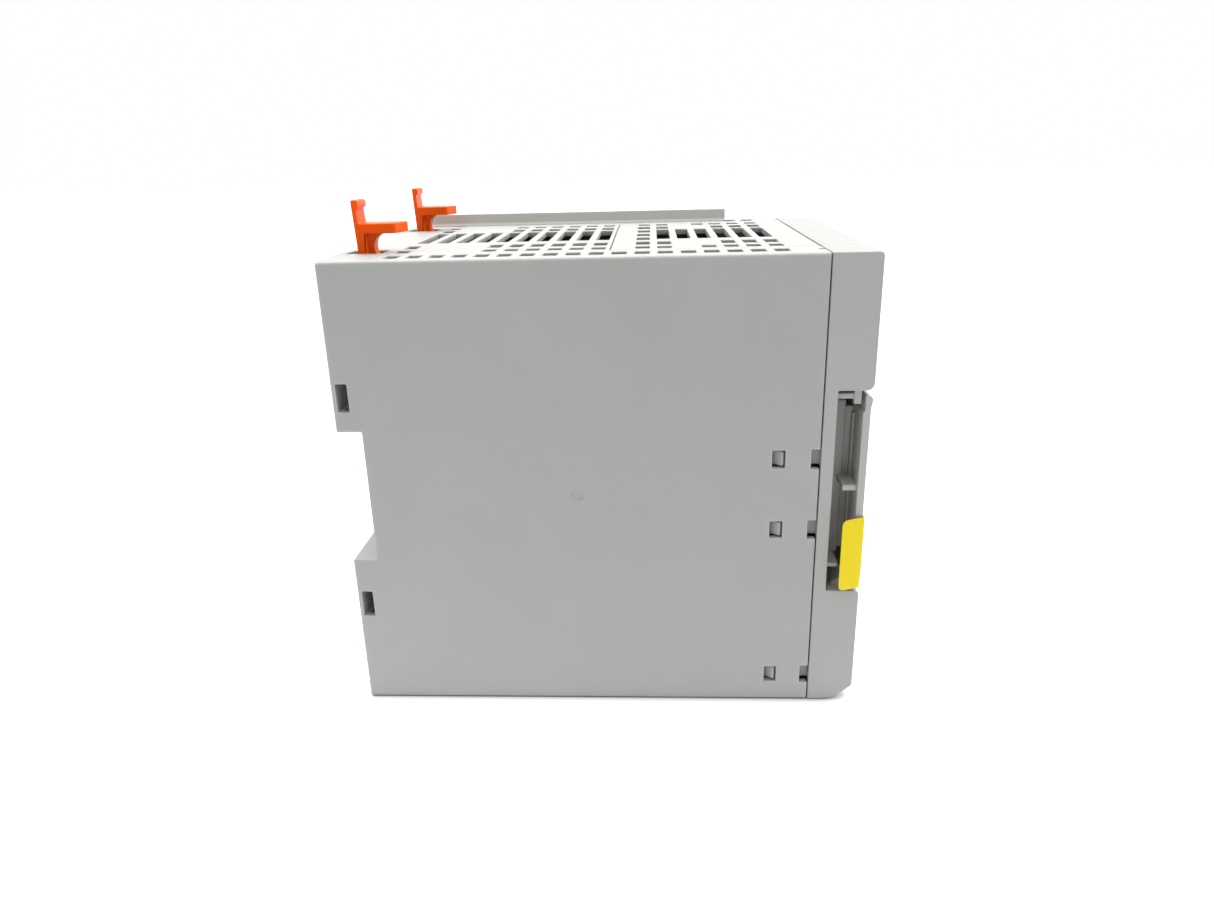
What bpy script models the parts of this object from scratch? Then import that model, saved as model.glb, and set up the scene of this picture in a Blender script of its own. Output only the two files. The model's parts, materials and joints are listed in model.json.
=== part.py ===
"""Programmable controller module for a 35 mm mounting rail, as an assembly of separate pieces.

Every place is written as x, d, z in millimetres: x runs right from the left wall, d runs from the rear
face towards the front, and z runs up from the base. row_point() turns them into metres in the part's
own frame: its origin is the centre of the rail seat, +X is right, +Y is rearwards and +Z is up.
"""
import math

import bmesh
import bpy
from mathutils import Matrix, Vector

MM = 0.001

# Overall size
WIDTH = 100.0
HEIGHT = 120.0
HOUSING_FRONT = 120.9
COVER_BACK = 121.2
COVER_FRONT = 133.0
WALL = 2.0
TOP_WALL = 1.6
GAP = 0.3
THROUGH = 3.0  # how far a cutter runs past the face it opens

# Channel for the mounting rail
RAIL_DEPTH = 6.4
RAIL_SLOT = 35.4
RAIL_LOW = (HEIGHT - RAIL_SLOT) / 2
RAIL_HIGH = (HEIGHT + RAIL_SLOT) / 2
RAIL_WALL = RAIL_DEPTH + WALL

# Rail latches: the raised position is the rest position
LATCH_X = (16.5, 23.5)
LATCH_TRAVEL = 4.6
PLATE_FOOT = 85.5
WEB_FOOT = 119.0
LATCH_BACK = 5.4
LATCH_FRONT = 7.8
CLAW = (2.4, 5.1)
CLAW_TIP = RAIL_HIGH + 0.4
SHELF_TOP = 127.3
SHELF_THICKNESS = 2.5
SHELF_FRONT = 17.3
LATCH_TOP = 133.0

# Vent columns across the top and the base
VENT_COLUMNS = 18
VENT_PITCH = 5.55
VENT_FIRST = 16.3
VENT_LENGTH = 3.6

# Hatch let into the front half of the top
HATCH_X = (14.0, 86.0)
HATCH_BACK = 69.5

# Snap joints between front cover and housing
SNAP_HEIGHTS = (7.85, 50.6, 69.65)
SNAP_WINDOW = (109.2, 112.4)
SNAP_ARM = (2.3, 4.0)

# Front cover: recess behind the door
RECESS_FLOOR = 124.4
FLOOR_BACK = RECESS_FLOOR - WALL
RECESS_Z = (33.2, 87.1)
RECESS_RIGHT = 97.5
PANEL_EDGE = (9.0, 10.2)

# Door: hinge rod along the bottom edge
DOOR_X = (0.3, 97.2)
DOOR_BACK = 130.7
DOOR_FRONT = 132.6
DOOR_TOP = 85.9
HINGE_D = 131.3
HINGE_Z = 35.05
ROD_RADIUS = 0.6
ROD_BORE = 0.7
CHEEK_X = (4.0, 92.0)
CHEEK_WIDTH = 2.0

# Circuit boards
BOARD = 1.6
MAIN_BOARD_X = 30.0
POWER_BOARD_X = 78.0
FRONT_BOARD_D = 117.0
SIDE_BOARD_D = (16.0, 116.4)
SIDE_BOARD_Z = (8.0, 112.0)
FRONT_PARTS_D = FRONT_BOARD_D + BOARD + GAP

# Sockets in the lower part of the front
SOCKET_FRONT = 132.7
SOCKET_Z = 16.5
NETWORK_X = (18.0, 37.0, 56.0)
POWER_X = 82.0
PIN_PITCH = 4.2
PIN_TIP = 127.6
USB_CENTRE = (20.0, 103.0)

# Controls behind the door
CARD_X = (32.65, 34.75)
CARD_Z = (50.0, 74.0)
CARD_D = (94.2, 126.2)
SWITCH_CENTRE = (56.0, 61.0)
RESET_CENTRE = (66.0, 61.0)
BOARD_SCREWS = ((10.0, 40.0), (10.0, 80.0), (90.0, 40.0), (90.0, 80.0))
STATUS_LIGHTS_X = (60.0, 72.0)
STATUS_LIGHTS_Z = (96.0, 101.0, 106.0, 111.0)


def row_point(x, d, z):
    """A place in metres in the part's frame."""
    return Vector((x - WIDTH / 2, RAIL_DEPTH - d, z - HEIGHT / 2)) * MM


def clear_scene():
    for thing in list(bpy.data.objects):
        bpy.data.objects.remove(thing)


def collection(name):
    group = bpy.data.collections.new(name)
    bpy.context.scene.collection.children.link(group)
    return group


clear_scene()
PARTS = collection("plc_module")
CUTTERS = collection("cutters")


# ---------------------------------------------------------------- materials
def linear(level):
    """One sRGB level of 0 to 255 as a linear value."""
    share = level / 255
    return share / 12.92 if share <= 0.04045 else ((share + 0.055) / 1.055) ** 2.4


def material(name, colour, roughness, metallic=0.0, alpha=1.0):
    made = bpy.data.materials.new(name)
    made.use_nodes = True
    shader = made.node_tree.nodes["Principled BSDF"]
    shader.inputs["Base Color"].default_value = [linear(level) for level in colour] + [1.0]
    shader.inputs["Roughness"].default_value = roughness
    shader.inputs["Metallic"].default_value = metallic
    shader.inputs["Alpha"].default_value = alpha
    return made


HOUSING_GREY = material("housing_grey", (186, 187, 184), 0.55)
COVER_GREY = material("cover_grey", (188, 187, 184), 0.55)
DOOR_GREY = material("door_grey", (188, 187, 182), 0.5)
LATCH_ORANGE = material("latch_orange", (222, 82, 20), 0.35)
TAB_YELLOW = material("tab_yellow", (238, 220, 36), 0.4)
SPRING_STEEL = material("spring_steel", (190, 190, 192), 0.3, 1.0)
SHIELD_STEEL = material("shield_steel", (200, 200, 198), 0.35, 1.0)
BOARD_GREEN = material("board_green", (22, 74, 52), 0.5)
CHIP_BLACK = material("chip_black", (28, 28, 30), 0.6)
CONNECTOR_BLACK = material("connector_black", (32, 32, 34), 0.5)
HEAT_SINK_BLUE = material("heat_sink_blue", (58, 66, 80), 0.45, 0.9)
CAPACITOR_SLEEVE = material("capacitor_sleeve", (34, 38, 58), 0.4)
COIL_COPPER = material("coil_copper", (184, 112, 70), 0.4, 1.0)
CELL_STEEL = material("cell_steel", (206, 206, 204), 0.3, 1.0)
SWITCH_IVORY = material("switch_ivory", (222, 220, 210), 0.45)
LIGHT_CLEAR = material("light_clear", (226, 232, 226), 0.2, 0.0, 0.6)
FUSE_GLASS = material("fuse_glass", (214, 220, 220), 0.1, 0.0, 0.6)


# ---------------------------------------------------------------- modelling helpers
def new_object(name, mesh, place, paint):
    thing = bpy.data.objects.new(name, mesh)
    thing.location = place
    (PARTS if paint else CUTTERS).objects.link(thing)
    if paint:
        mesh.materials.append(paint)
    else:
        thing.hide_render = True
        thing.display_type = "WIRE"
    return thing


def boxes(name, ranges, paint=None, origin=None):
    """One object of separate boxes, each given as its x, d and z ranges."""
    corners = [(row_point(x[0], d[1], z[0]), row_point(x[1], d[0], z[1])) for x, d, z in ranges]
    place = origin or (corners[0][0] + corners[0][1]) / 2
    shape = bmesh.new()
    for low, high in corners:
        spot = Matrix.LocRotScale((low + high) / 2 - place, None, high - low)
        bmesh.ops.create_cube(shape, size=1.0, matrix=spot)
    mesh = bpy.data.meshes.new(name)
    shape.to_mesh(mesh)
    shape.free()
    return new_object(name, mesh, place, paint)


def box(name, x, d, z, paint=None, origin=None):
    return boxes(name, [(x, d, z)], paint, origin)


# For each sweep direction: where the outline's own first and second axes point in the part's frame
SWEEPS = {
    "x": (Vector((0, -1, 0)), Vector((0, 0, 1))),
    "d": (Vector((1, 0, 0)), Vector((0, 0, 1))),
    "z": (Vector((1, 0, 0)), Vector((0, -1, 0))),
}


def sweep_place(along, first, second, middle):
    """The part-frame point of an outline's (first, second) at a place along the sweep."""
    if along == "x":
        return row_point(middle, first, second)
    if along == "d":
        return row_point(first, middle, second)
    return row_point(first, second, middle)


def outline(name, points, along, reach, paint=None, origin=None):
    """A flat outline swept along x, d or z over the range in reach.

    The points are (d, z) for a sweep along x, (x, z) along d, and (x, d) along z.
    """
    curve = bpy.data.curves.new(name, "CURVE")
    curve.dimensions = "2D"
    curve.fill_mode = "BOTH"
    curve.extrude = (reach[1] - reach[0]) / 2 * MM
    line = curve.splines.new("POLY")
    line.points.add(len(points) - 1)
    for point, (first, second) in zip(line.points, points):
        point.co = ((first - points[0][0]) * MM, (second - points[0][1]) * MM, 0, 1)
    line.use_cyclic_u = True
    across, up = SWEEPS[along]
    turn = Matrix((across, up, across.cross(up))).transposed().to_4x4()
    start = sweep_place(along, points[0][0], points[0][1], (reach[0] + reach[1]) / 2)
    guide = bpy.data.objects.new(name + "_outline", curve)
    CUTTERS.objects.link(guide)
    bpy.context.view_layer.update()
    graph = bpy.context.evaluated_depsgraph_get()
    mesh = bpy.data.meshes.new_from_object(guide.evaluated_get(graph))
    bpy.data.objects.remove(guide)
    mesh.name = name
    place = origin or start
    shape = bmesh.new()
    shape.from_mesh(mesh)
    bmesh.ops.remove_doubles(shape, verts=shape.verts, dist=0.000001)
    bmesh.ops.transform(shape, matrix=Matrix.Translation(start - place) @ turn, verts=shape.verts)
    bmesh.ops.recalc_face_normals(shape, faces=shape.faces)
    shape.to_mesh(mesh)
    shape.free()
    return new_object(name, mesh, place, paint)


def cylinder(name, along, centre, reach, radius, paint=None, sides=16, origin=None):
    """A round bar along x or d, or z: centre holds its two other coordinates, in that order."""
    middle = (reach[0] + reach[1]) / 2
    start = sweep_place(along, centre[0], centre[1], middle)
    place = origin or start
    across, up = SWEEPS[along]
    turn = Matrix((across, up, across.cross(up))).transposed().to_4x4()
    shape = bmesh.new()
    bmesh.ops.create_cone(
        shape,
        cap_ends=True,
        segments=sides,
        radius1=radius * MM,
        radius2=radius * MM,
        depth=(reach[1] - reach[0]) * MM,
        matrix=Matrix.Translation(start - place) @ turn,
    )
    mesh = bpy.data.meshes.new(name)
    shape.to_mesh(mesh)
    shape.free()
    made = new_object(name, mesh, place, paint)
    made.data.shade_smooth()
    made.data.set_sharp_from_angle(angle=math.radians(40))
    return made


def combine(part, tools, operation):
    for tool in tools:
        step = part.modifiers.new(tool.name, "BOOLEAN")
        step.operation = operation
        step.solver = "EXACT"
        step.object = tool


def cut(part, *tools):
    combine(part, tools, "DIFFERENCE")


def join(part, *tools):
    combine(part, tools, "UNION")


def arc(centre, radius, start, end, steps):
    """Points along an arc, from the start angle to the end angle in degrees."""
    points = []
    for step in range(steps + 1):
        angle = math.radians(start + (end - start) * step / steps)
        points.append((centre[0] + radius * math.cos(angle), centre[1] + radius * math.sin(angle)))
    return points


def rounded_rectangle(first, second, radius, steps=3):
    """A rectangle over two ranges, with all its corners rounded."""
    corners = (
        (first[1] - radius, second[1] - radius, 0),
        (first[0] + radius, second[1] - radius, 90),
        (first[0] + radius, second[0] + radius, 180),
        (first[1] - radius, second[0] + radius, 270),
    )
    points = []
    for a, b, start in corners:
        points += arc((a, b), radius, start, start + 90, steps)
    return points


def mirror_x(x):
    """The same x range on the other side of the module."""
    return (WIDTH - x[1], WIDTH - x[0])


def both_sides(x):
    return (x, mirror_x(x))


def vent_range(column):
    middle = VENT_FIRST + VENT_PITCH * column
    return (middle - VENT_LENGTH / 2, middle + VENT_LENGTH / 2)


def vents(name, rows, z):
    """One cutter for vents: rows pairs each x range with the columns that it is open in."""
    return boxes(name, [(x, vent_range(column), z) for x, columns in rows for column in columns])


# ---------------------------------------------------------------- housing
OUTER_ROW = (4.5, 10.5)
SECOND_ROW = (15.6, 21.0)
THIRD_ROW = (24.5, 32.0)
LONG_SLOT = (38.0, 66.0)
SHAFT_X = (LATCH_X[0] - GAP, LATCH_X[1] + GAP)
SHAFT_D = (CLAW[0] - GAP, LATCH_FRONT + 0.4)
SHAFT_FLOOR = PLATE_FOOT - LATCH_TRAVEL - 0.9
WEB_SLOT = (8.0, 11.5)
WEB_SLOT_FLOOR = WEB_FOOT - LATCH_TRAVEL - 2.4
SPRING_POCKET = (8.0, 9.6)
SPRING_Z = (94.0, 108.0)
REAR_POCKET_FRONT = 13.0
GROUND_X = (58.0, 66.0)
GROUND_Z = (62.0, 72.0)
STRIP_PEGS = (31.5, 88.5)
REAR_SLOTS_Z = ((25.5, 32.8), (83.0, 90.2))


def main_housing():
    housing = outline(
        "main_housing",
        rounded_rectangle((0, WIDTH), (0, HEIGHT), 0.8),
        "d",
        (0, HOUSING_FRONT),
        HOUSING_GREY,
    )
    across = (-THROUGH, WIDTH + THROUGH)
    inside = (WALL, WIDTH - WALL)
    rail = box("rail_channel", across, (-THROUGH, RAIL_DEPTH), (RAIL_LOW, RAIL_HIGH))
    hooks = boxes(
        "fixed_hooks", [(x, CLAW, (RAIL_LOW - 1.2, RAIL_LOW + 3.2)) for x in both_sides(LATCH_X)]
    )
    cut(housing, rail)
    join(housing, hooks)
    hollow_housing(housing, inside)
    open_latch_shafts(housing)
    open_side_walls(housing)
    open_top_and_base(housing)
    guide_boards(housing)
    return housing


def hollow_housing(housing, inside):
    main = box(
        "main_hollow",
        inside,
        (REAR_POCKET_FRONT, HOUSING_FRONT + THROUGH),
        (WALL, HEIGHT - TOP_WALL),
    )
    behind_rail = box("behind_rail", inside, (RAIL_WALL, 15), (38, 82))
    upper = (RAIL_HIGH + WALL, HEIGHT - TOP_WALL)
    pockets = boxes(
        "rear_pockets",
        [
            (inside, (WALL, 15), (WALL, RAIL_LOW - WALL)),
            ((WALL, SHAFT_X[0] - WALL), (WALL, 15), upper),
            ((SHAFT_X[1] + WALL, WIDTH - SHAFT_X[1] - WALL), (WALL, 15), upper),
            ((WIDTH - SHAFT_X[0] + WALL, WIDTH - WALL), (WALL, 15), upper),
        ],
    )
    shaft_fronts = boxes(
        "shaft_fronts", [(x, (SHAFT_D[1] + WALL, 15), (79, 110)) for x in both_sides((13, 27))]
    )
    cut(housing, main, behind_rail, pockets, shaft_fronts)


def open_latch_shafts(housing):
    top = HEIGHT + THROUGH
    sides = both_sides(SHAFT_X)
    shafts = boxes("latch_shafts", [(x, SHAFT_D, (SHAFT_FLOOR, top)) for x in sides])
    claw_exits = boxes(
        "claw_exits", [(x, (SHAFT_D[0], CLAW[1] + GAP), (RAIL_HIGH - 2, 82)) for x in sides]
    )
    web_slots = boxes("web_slots", [(x, WEB_SLOT, (WEB_SLOT_FLOOR, top)) for x in sides])
    springs = boxes("spring_pockets", [(x, SPRING_POCKET, SPRING_Z) for x in both_sides((17.5, 22.5))])
    cut(housing, shafts, claw_exits, web_slots, springs)


def open_side_walls(housing):
    openings = [(x, (1.1, 4.0), z) for x in both_sides((-THROUGH, 8)) for z in REAR_SLOTS_Z]
    for x in both_sides((-THROUGH, WALL + 1)):
        for middle in SNAP_HEIGHTS:
            openings.append((x, SNAP_WINDOW, (middle - 2.3, middle + 2.3)))
            openings.append((x, (118.8, HOUSING_FRONT + THROUGH), (middle - 2.55, middle + 2.55)))
    cut(housing, boxes("side_openings", openings))


def open_top_and_base(housing):
    top = (HEIGHT - WALL - 1, HEIGHT + THROUGH)
    base = (-THROUGH, WALL + 1)
    hatch = box(
        "hatch_opening",
        (HATCH_X[0] - GAP, HATCH_X[1] + GAP),
        (HATCH_BACK - GAP, HOUSING_FRONT + THROUGH),
        top,
    )
    open_half = (0, 4, 5, 6, 7, 8, 9)
    rows = [
        (OUTER_ROW, range(VENT_COLUMNS)),
        (mirror_x(OUTER_ROW), (0, 16, 17)),
        (LONG_SLOT, range(10)),
    ]
    for x in (SECOND_ROW, THIRD_ROW):
        rows += [(x, open_half), (mirror_x(x), open_half)]
    top_vents = vents("top_vents", rows, top)
    base_rows = [(x, range(1, VENT_COLUMNS - 1)) for x in ((8, 26), LONG_SLOT, (84, 94))]
    base_vents = vents("base_vents", base_rows, base)
    pegs = boxes("peg_holes", [((93.4, 96.0), (d - 1.8, d + 1.8), top) for d in STRIP_PEGS])
    ground = box("ground_window", GROUND_X, (RAIL_DEPTH - 2, RAIL_WALL + 2), GROUND_Z)
    catches = boxes(
        "top_catches", [(x, (119.4, HOUSING_FRONT + THROUGH), top) for x in both_sides((6.8, 9.2))]
    )
    cut(housing, hatch, top_vents, base_vents, pegs, ground, catches)


def guide_boards(housing):
    """Pairs of ribs on the base that hold the lower edges of the two upright boards."""
    ribs = []
    for board in (MAIN_BOARD_X, POWER_BOARD_X):
        for x in ((board - 1.5, board - GAP), (board + BOARD + GAP, board + BOARD + 1.5)):
            ribs.append((x, (20, 100), (WALL - 1, 11)))
    join(housing, boxes("board_guides", ribs))


def top_hatch():
    hatch = box(
        "top_hatch",
        HATCH_X,
        (HATCH_BACK, HOUSING_FRONT - GAP),
        (HEIGHT - TOP_WALL, HEIGHT),
        HOUSING_GREY,
    )
    inner_edge = HATCH_X[0] + 3
    tabs = []
    under_wall = (HEIGHT - TOP_WALL - GAP - 1.7, HEIGHT - TOP_WALL - GAP)
    for d in ((70.0, 74.5), (114.0, 119.0)):
        for x in both_sides((HATCH_X[0] - 2.2, inner_edge)):
            tabs.append((x, d, under_wall))
    feet = []
    for d in ((70.0, 74.5), (114.0, 119.0)):
        for x in both_sides((HATCH_X[0] + 0.2, inner_edge - 0.2)):
            feet.append((x, (d[0] + 0.2, d[1] - 0.2), (under_wall[0] + 0.5, HEIGHT - 0.8)))
    join(hatch, boxes("hatch_tabs", tabs), boxes("hatch_feet", feet))
    side_columns = (11, 12, 14, 15, 16, 17)
    middle_columns = (11, 12, 15, 16, 17)
    rows = [(LONG_SLOT, range(12, VENT_COLUMNS))]
    for x in both_sides(SECOND_ROW):
        rows.append((x, side_columns))
    for x in both_sides(THIRD_ROW):
        rows.append((x, middle_columns))
    for x in ((36.0, 43.0), (46.5, 53.5), (57.0, 64.0)):
        rows.append((x, (11,)))
    cut(hatch, vents("hatch_vents", rows, (HEIGHT - WALL - 3, HEIGHT + THROUGH)))
    return hatch


def marker_strip():
    """Upright strip on two pegs, its left side curved out where it meets the top."""
    base = HEIGHT + 0.1
    left, right = 92.2, 97.2
    foot = 1.0
    view = [
        (right, base),
        (right, 123.8),
        (left, 123.8),
        *arc((left - foot, base + foot), foot, 0, -75, 3),
        (left - 0.75 * foot, base),
    ]
    strip = outline("marker_strip", view, "d", (4.5, 103.7), HOUSING_GREY)
    pegs = [((93.7, 95.7), (d - 1.5, d + 1.5), (HEIGHT - 3, HEIGHT + 0.5)) for d in STRIP_PEGS]
    join(strip, boxes("strip_pegs", pegs))
    return strip


def ground_contact():
    """Bent strip that bears on the rail through a window in the rail seat."""
    face = RAIL_DEPTH + 0.15
    sheet = 0.5
    low = GROUND_Z[0] + GAP
    high = GROUND_Z[1] - GAP
    points = [
        (face, low),
        (face, high),
        (12.0, high),
        (12.0, high - sheet),
        (face + sheet, high - sheet),
        (face + sheet, low),
    ]
    return outline(
        "ground_contact", points, "x", (GROUND_X[0] + GAP, GROUND_X[1] - GAP), SPRING_STEEL
    )


# ---------------------------------------------------------------- rail latches
def rail_latch(name, x):
    """A sliding latch: claw, upright plate, finger shelf with its web, and curled top edge."""
    origin = row_point((x[0] + x[1]) / 2, LATCH_BACK, CLAW_TIP)
    shelf_bottom = SHELF_TOP - SHELF_THICKNESS
    side_view = [
        (CLAW[0], CLAW_TIP + 1.2),
        (CLAW[0] + 1.0, CLAW_TIP),
        (CLAW[1], CLAW_TIP),
        (CLAW[1], PLATE_FOOT),
        (LATCH_FRONT, PLATE_FOOT),
        (LATCH_FRONT, shelf_bottom + 1.2),
        (6.3, SHELF_TOP - 0.5),
        (6.0, 130.8),
        (6.7, 131.3),
        *arc((6.0, 132.3), 0.7, 0, 90, 3),
        (4.8, LATCH_TOP),
        (LATCH_BACK, HEIGHT),
        (LATCH_BACK, 93.5),
        (CLAW[0], 91.0),
    ]
    latch = outline(name, side_view, "x", x, LATCH_ORANGE, origin)
    corner = 1.2
    shelf_view = [
        (x[0], LATCH_BACK + 0.5),
        (x[0], SHELF_FRONT - 1.5 - corner),
        *arc((x[0] + corner, SHELF_FRONT - 1.5 - corner), corner, 180, 115, 3),
        *arc((x[1] - corner, SHELF_FRONT - corner), corner, 90, 0, 3),
        (x[1], LATCH_BACK + 0.5),
    ]
    shelf = outline(name + "_shelf", shelf_view, "z", (shelf_bottom, SHELF_TOP))
    web_view = [
        (LATCH_FRONT - 0.8, WEB_FOOT),
        (10.3, WEB_FOOT),
        *arc((12.6, 121.4), 3.4, 208, 122, 5),
        (11.4, shelf_bottom + 0.6),
        (LATCH_FRONT - 0.8, shelf_bottom + 0.6),
    ]
    middle = (x[0] + x[1]) / 2
    web = outline(name + "_web", web_view, "x", (middle - 1.7, middle + 1.7))
    join(latch, shelf, web)
    return latch


def latch_spring(name, x):
    """Leaf spring in the shaft wall that holds the latch up or down."""
    front = 8.1
    sheet = 0.3
    bow = 0.9
    middle = sum(SPRING_Z) / 2
    ends = (SPRING_Z[0] + 0.5, SPRING_Z[1] - 0.5)
    points = [
        (front + bow, ends[0]),
        (front, middle - 0.5),
        (front, middle + 0.5),
        (front + bow, ends[1]),
        (front + bow + sheet, ends[1]),
        (front + sheet, middle + 0.5),
        (front + sheet, middle - 0.5),
        (front + bow + sheet, ends[0]),
    ]
    return outline(name, points, "x", (x[0] + 1.3, x[1] - 1.3), SPRING_STEEL)


# ---------------------------------------------------------------- front cover and door
def front_cover():
    """Shell whose base sweeps up into a chamfer below the front, with a hollow above and below the recess."""
    base_round = 9.0
    chamfer = 39
    corner_round = 0.8
    corner_z = 4.75
    top_round = 1.0
    side_view = [
        (COVER_BACK, 0),
        *arc((124.4, base_round), base_round, -90, chamfer - 90, 4),
        *arc((COVER_FRONT - corner_round, corner_z), corner_round, chamfer - 90, 0, 2),
        *arc((COVER_FRONT - top_round, HEIGHT - top_round), top_round, 0, 90, 3),
        (COVER_BACK, HEIGHT),
    ]
    cover = outline("front_cover", side_view, "x", (0, WIDTH), COVER_GREY)
    inside = (WALL, WIDTH - WALL)
    hollow_front = COVER_FRONT - WALL
    upper = box(
        "upper_hollow",
        inside,
        (COVER_BACK - THROUGH, hollow_front),
        (RECESS_Z[1] + WALL, HEIGHT - WALL),
    )
    lower_view = [
        (COVER_BACK - THROUGH, WALL),
        (126.9, WALL),
        (hollow_front, 5.4),
        (hollow_front, RECESS_Z[0] - WALL),
        (COVER_BACK - THROUGH, RECESS_Z[0] - WALL),
    ]
    lower = outline("lower_hollow", lower_view, "x", inside)
    back = box(
        "cover_back_hollow",
        inside,
        (COVER_BACK - THROUGH, FLOOR_BACK),
        (RECESS_Z[0] - WALL - 1, RECESS_Z[1] + WALL + 1),
    )
    cut(cover, upper, lower, back, recess_cutter())
    join(cover, *recess_fittings())
    cut(cover, cylinder("cheek_bore", "x", (HINGE_D, HINGE_Z), (2.4, 97.0), ROD_BORE, sides=12))
    add_snap_arms(cover)
    add_screw_bosses(cover)
    open_cover(cover)
    return cover


def recess_cutter():
    """The recess behind the door, with the front edges above and below it rounded."""
    lower_round = 1.2
    upper_round = 1.8
    past = COVER_FRONT + THROUGH
    low, high = RECESS_Z
    view = [
        (RECESS_FLOOR, low),
        *arc((COVER_FRONT - lower_round, low - lower_round), lower_round, 90, 0, 3),
        (past, low - lower_round),
        (past, high + upper_round),
        *arc((COVER_FRONT - upper_round, high + upper_round), upper_round, 0, -90, 4),
        (RECESS_FLOOR, high),
    ]
    return outline("recess", view, "x", (-THROUGH, RECESS_RIGHT))


def recess_fittings():
    """Lug and bracket at the top, catch ledge, rib, wall beside the finger hold, hinge cheeks."""
    low, high = RECESS_Z
    in_floor = RECESS_FLOOR - 0.8
    lug = box("lug", (1.0, 3.4), (128.5, 130.3), (83.5, high + 0.8))
    bracket = box("bracket", (1.3, 5.4), (in_floor, 129.0), (84.8, 86.2))
    ledge = box("catch_ledge", (46.0, 54.0), (in_floor, 128.2), (81.7, 83.0))
    rib = box("rib", (1.5, 30.0), (in_floor, 127.2), (39.4, 40.5))
    panel_edge = box("panel_edge", PANEL_EDGE, (in_floor, 128.4), (40.3, 82.3))
    cheek_round = 1.35
    cheek_view = [
        (126.4, low - 0.8),
        (132.0, low - 0.8),
        *arc((HINGE_D, HINGE_Z), cheek_round, -30, 140, 8),
        (126.4, low + 0.6),
    ]
    fittings = [lug, bracket, ledge, rib, panel_edge]
    for x in CHEEK_X:
        name = "cheek_" + ("left" if x < WIDTH / 2 else "right")
        fittings.append(outline(name, cheek_view, "x", (x, x + CHEEK_WIDTH)))
    return fittings


def add_snap_arms(cover):
    """Arms that run back inside the side walls, each with a ramped nub for its window."""
    arms = []
    roots = []
    for middle in SNAP_HEIGHTS:
        height = (middle - 2.1, middle + 2.1)
        for x in both_sides(SNAP_ARM):
            arms.append((x, (108.4, COVER_BACK + 1.5), height))
        for x in both_sides((1.0, SNAP_ARM[1] - 0.2)):
            roots.append((x, (COVER_BACK + 0.2, COVER_BACK + 3.0), (height[0] - 0.2, height[1] + 0.2)))
    join(cover, boxes("snap_roots", roots), boxes("snap_arms", arms))
    nub = [(SNAP_ARM[0] + 0.3, 109.0), (0.6, 111.5), (0.6, 112.1), (SNAP_ARM[0] + 0.3, 112.1)]
    mirrored = [(WIDTH - x, d) for x, d in nub]
    for number, middle in enumerate(SNAP_HEIGHTS, 1):
        height = (middle - 1.9, middle + 1.9)
        join(
            cover,
            outline(f"nub_left_{number}", nub, "z", height),
            outline(f"nub_right_{number}", mirrored, "z", height),
        )


def add_screw_bosses(cover):
    for number, place in enumerate(BOARD_SCREWS, 1):
        boss = cylinder(f"boss_{number}", "d", place, (FRONT_PARTS_D, FLOOR_BACK + 0.8), 3.0, sides=12)
        pilot = cylinder(f"pilot_{number}", "d", place, (FRONT_PARTS_D - 1, 122.0), 1.35, sides=12)
        join(cover, boss)
        cut(cover, pilot)


def around(middle, size, clearance=0.0):
    """The range of that size about a middle value, widened by a clearance on both sides."""
    return (middle - size / 2 - clearance, middle + size / 2 + clearance)


def open_cover(cover):
    """Openings for sockets, status lights, card, switch and reset button."""
    front = (COVER_FRONT - WALL - 1, COVER_FRONT + THROUGH)
    floor = (FLOOR_BACK - 1, RECESS_FLOOR + 1)
    openings = [(around(x, 16, GAP), front, around(SOCKET_Z, 13.2, GAP)) for x in NETWORK_X]
    openings.append((around(POWER_X, 20, GAP), front, around(SOCKET_Z, 12, GAP)))
    openings.append((around(USB_CENTRE[0], 13.2, GAP), front, around(USB_CENTRE[1], 5.8, GAP)))
    for x in STATUS_LIGHTS_X:
        for z in STATUS_LIGHTS_Z:
            openings.append((around(x, 4.4, GAP), front, around(z, 1.4, GAP)))
    openings.append(((CARD_X[0] - 0.4, CARD_X[1] + 0.4), floor, (CARD_Z[0] - 0.4, CARD_Z[1] + 0.4)))
    openings.append((around(SWITCH_CENTRE[0], 3.2), floor, around(SWITCH_CENTRE[1], 9.0)))
    reset = cylinder("reset_hole", "d", RESET_CENTRE, floor, 2.3)
    cut(cover, boxes("cover_openings", openings), reset)


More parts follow.
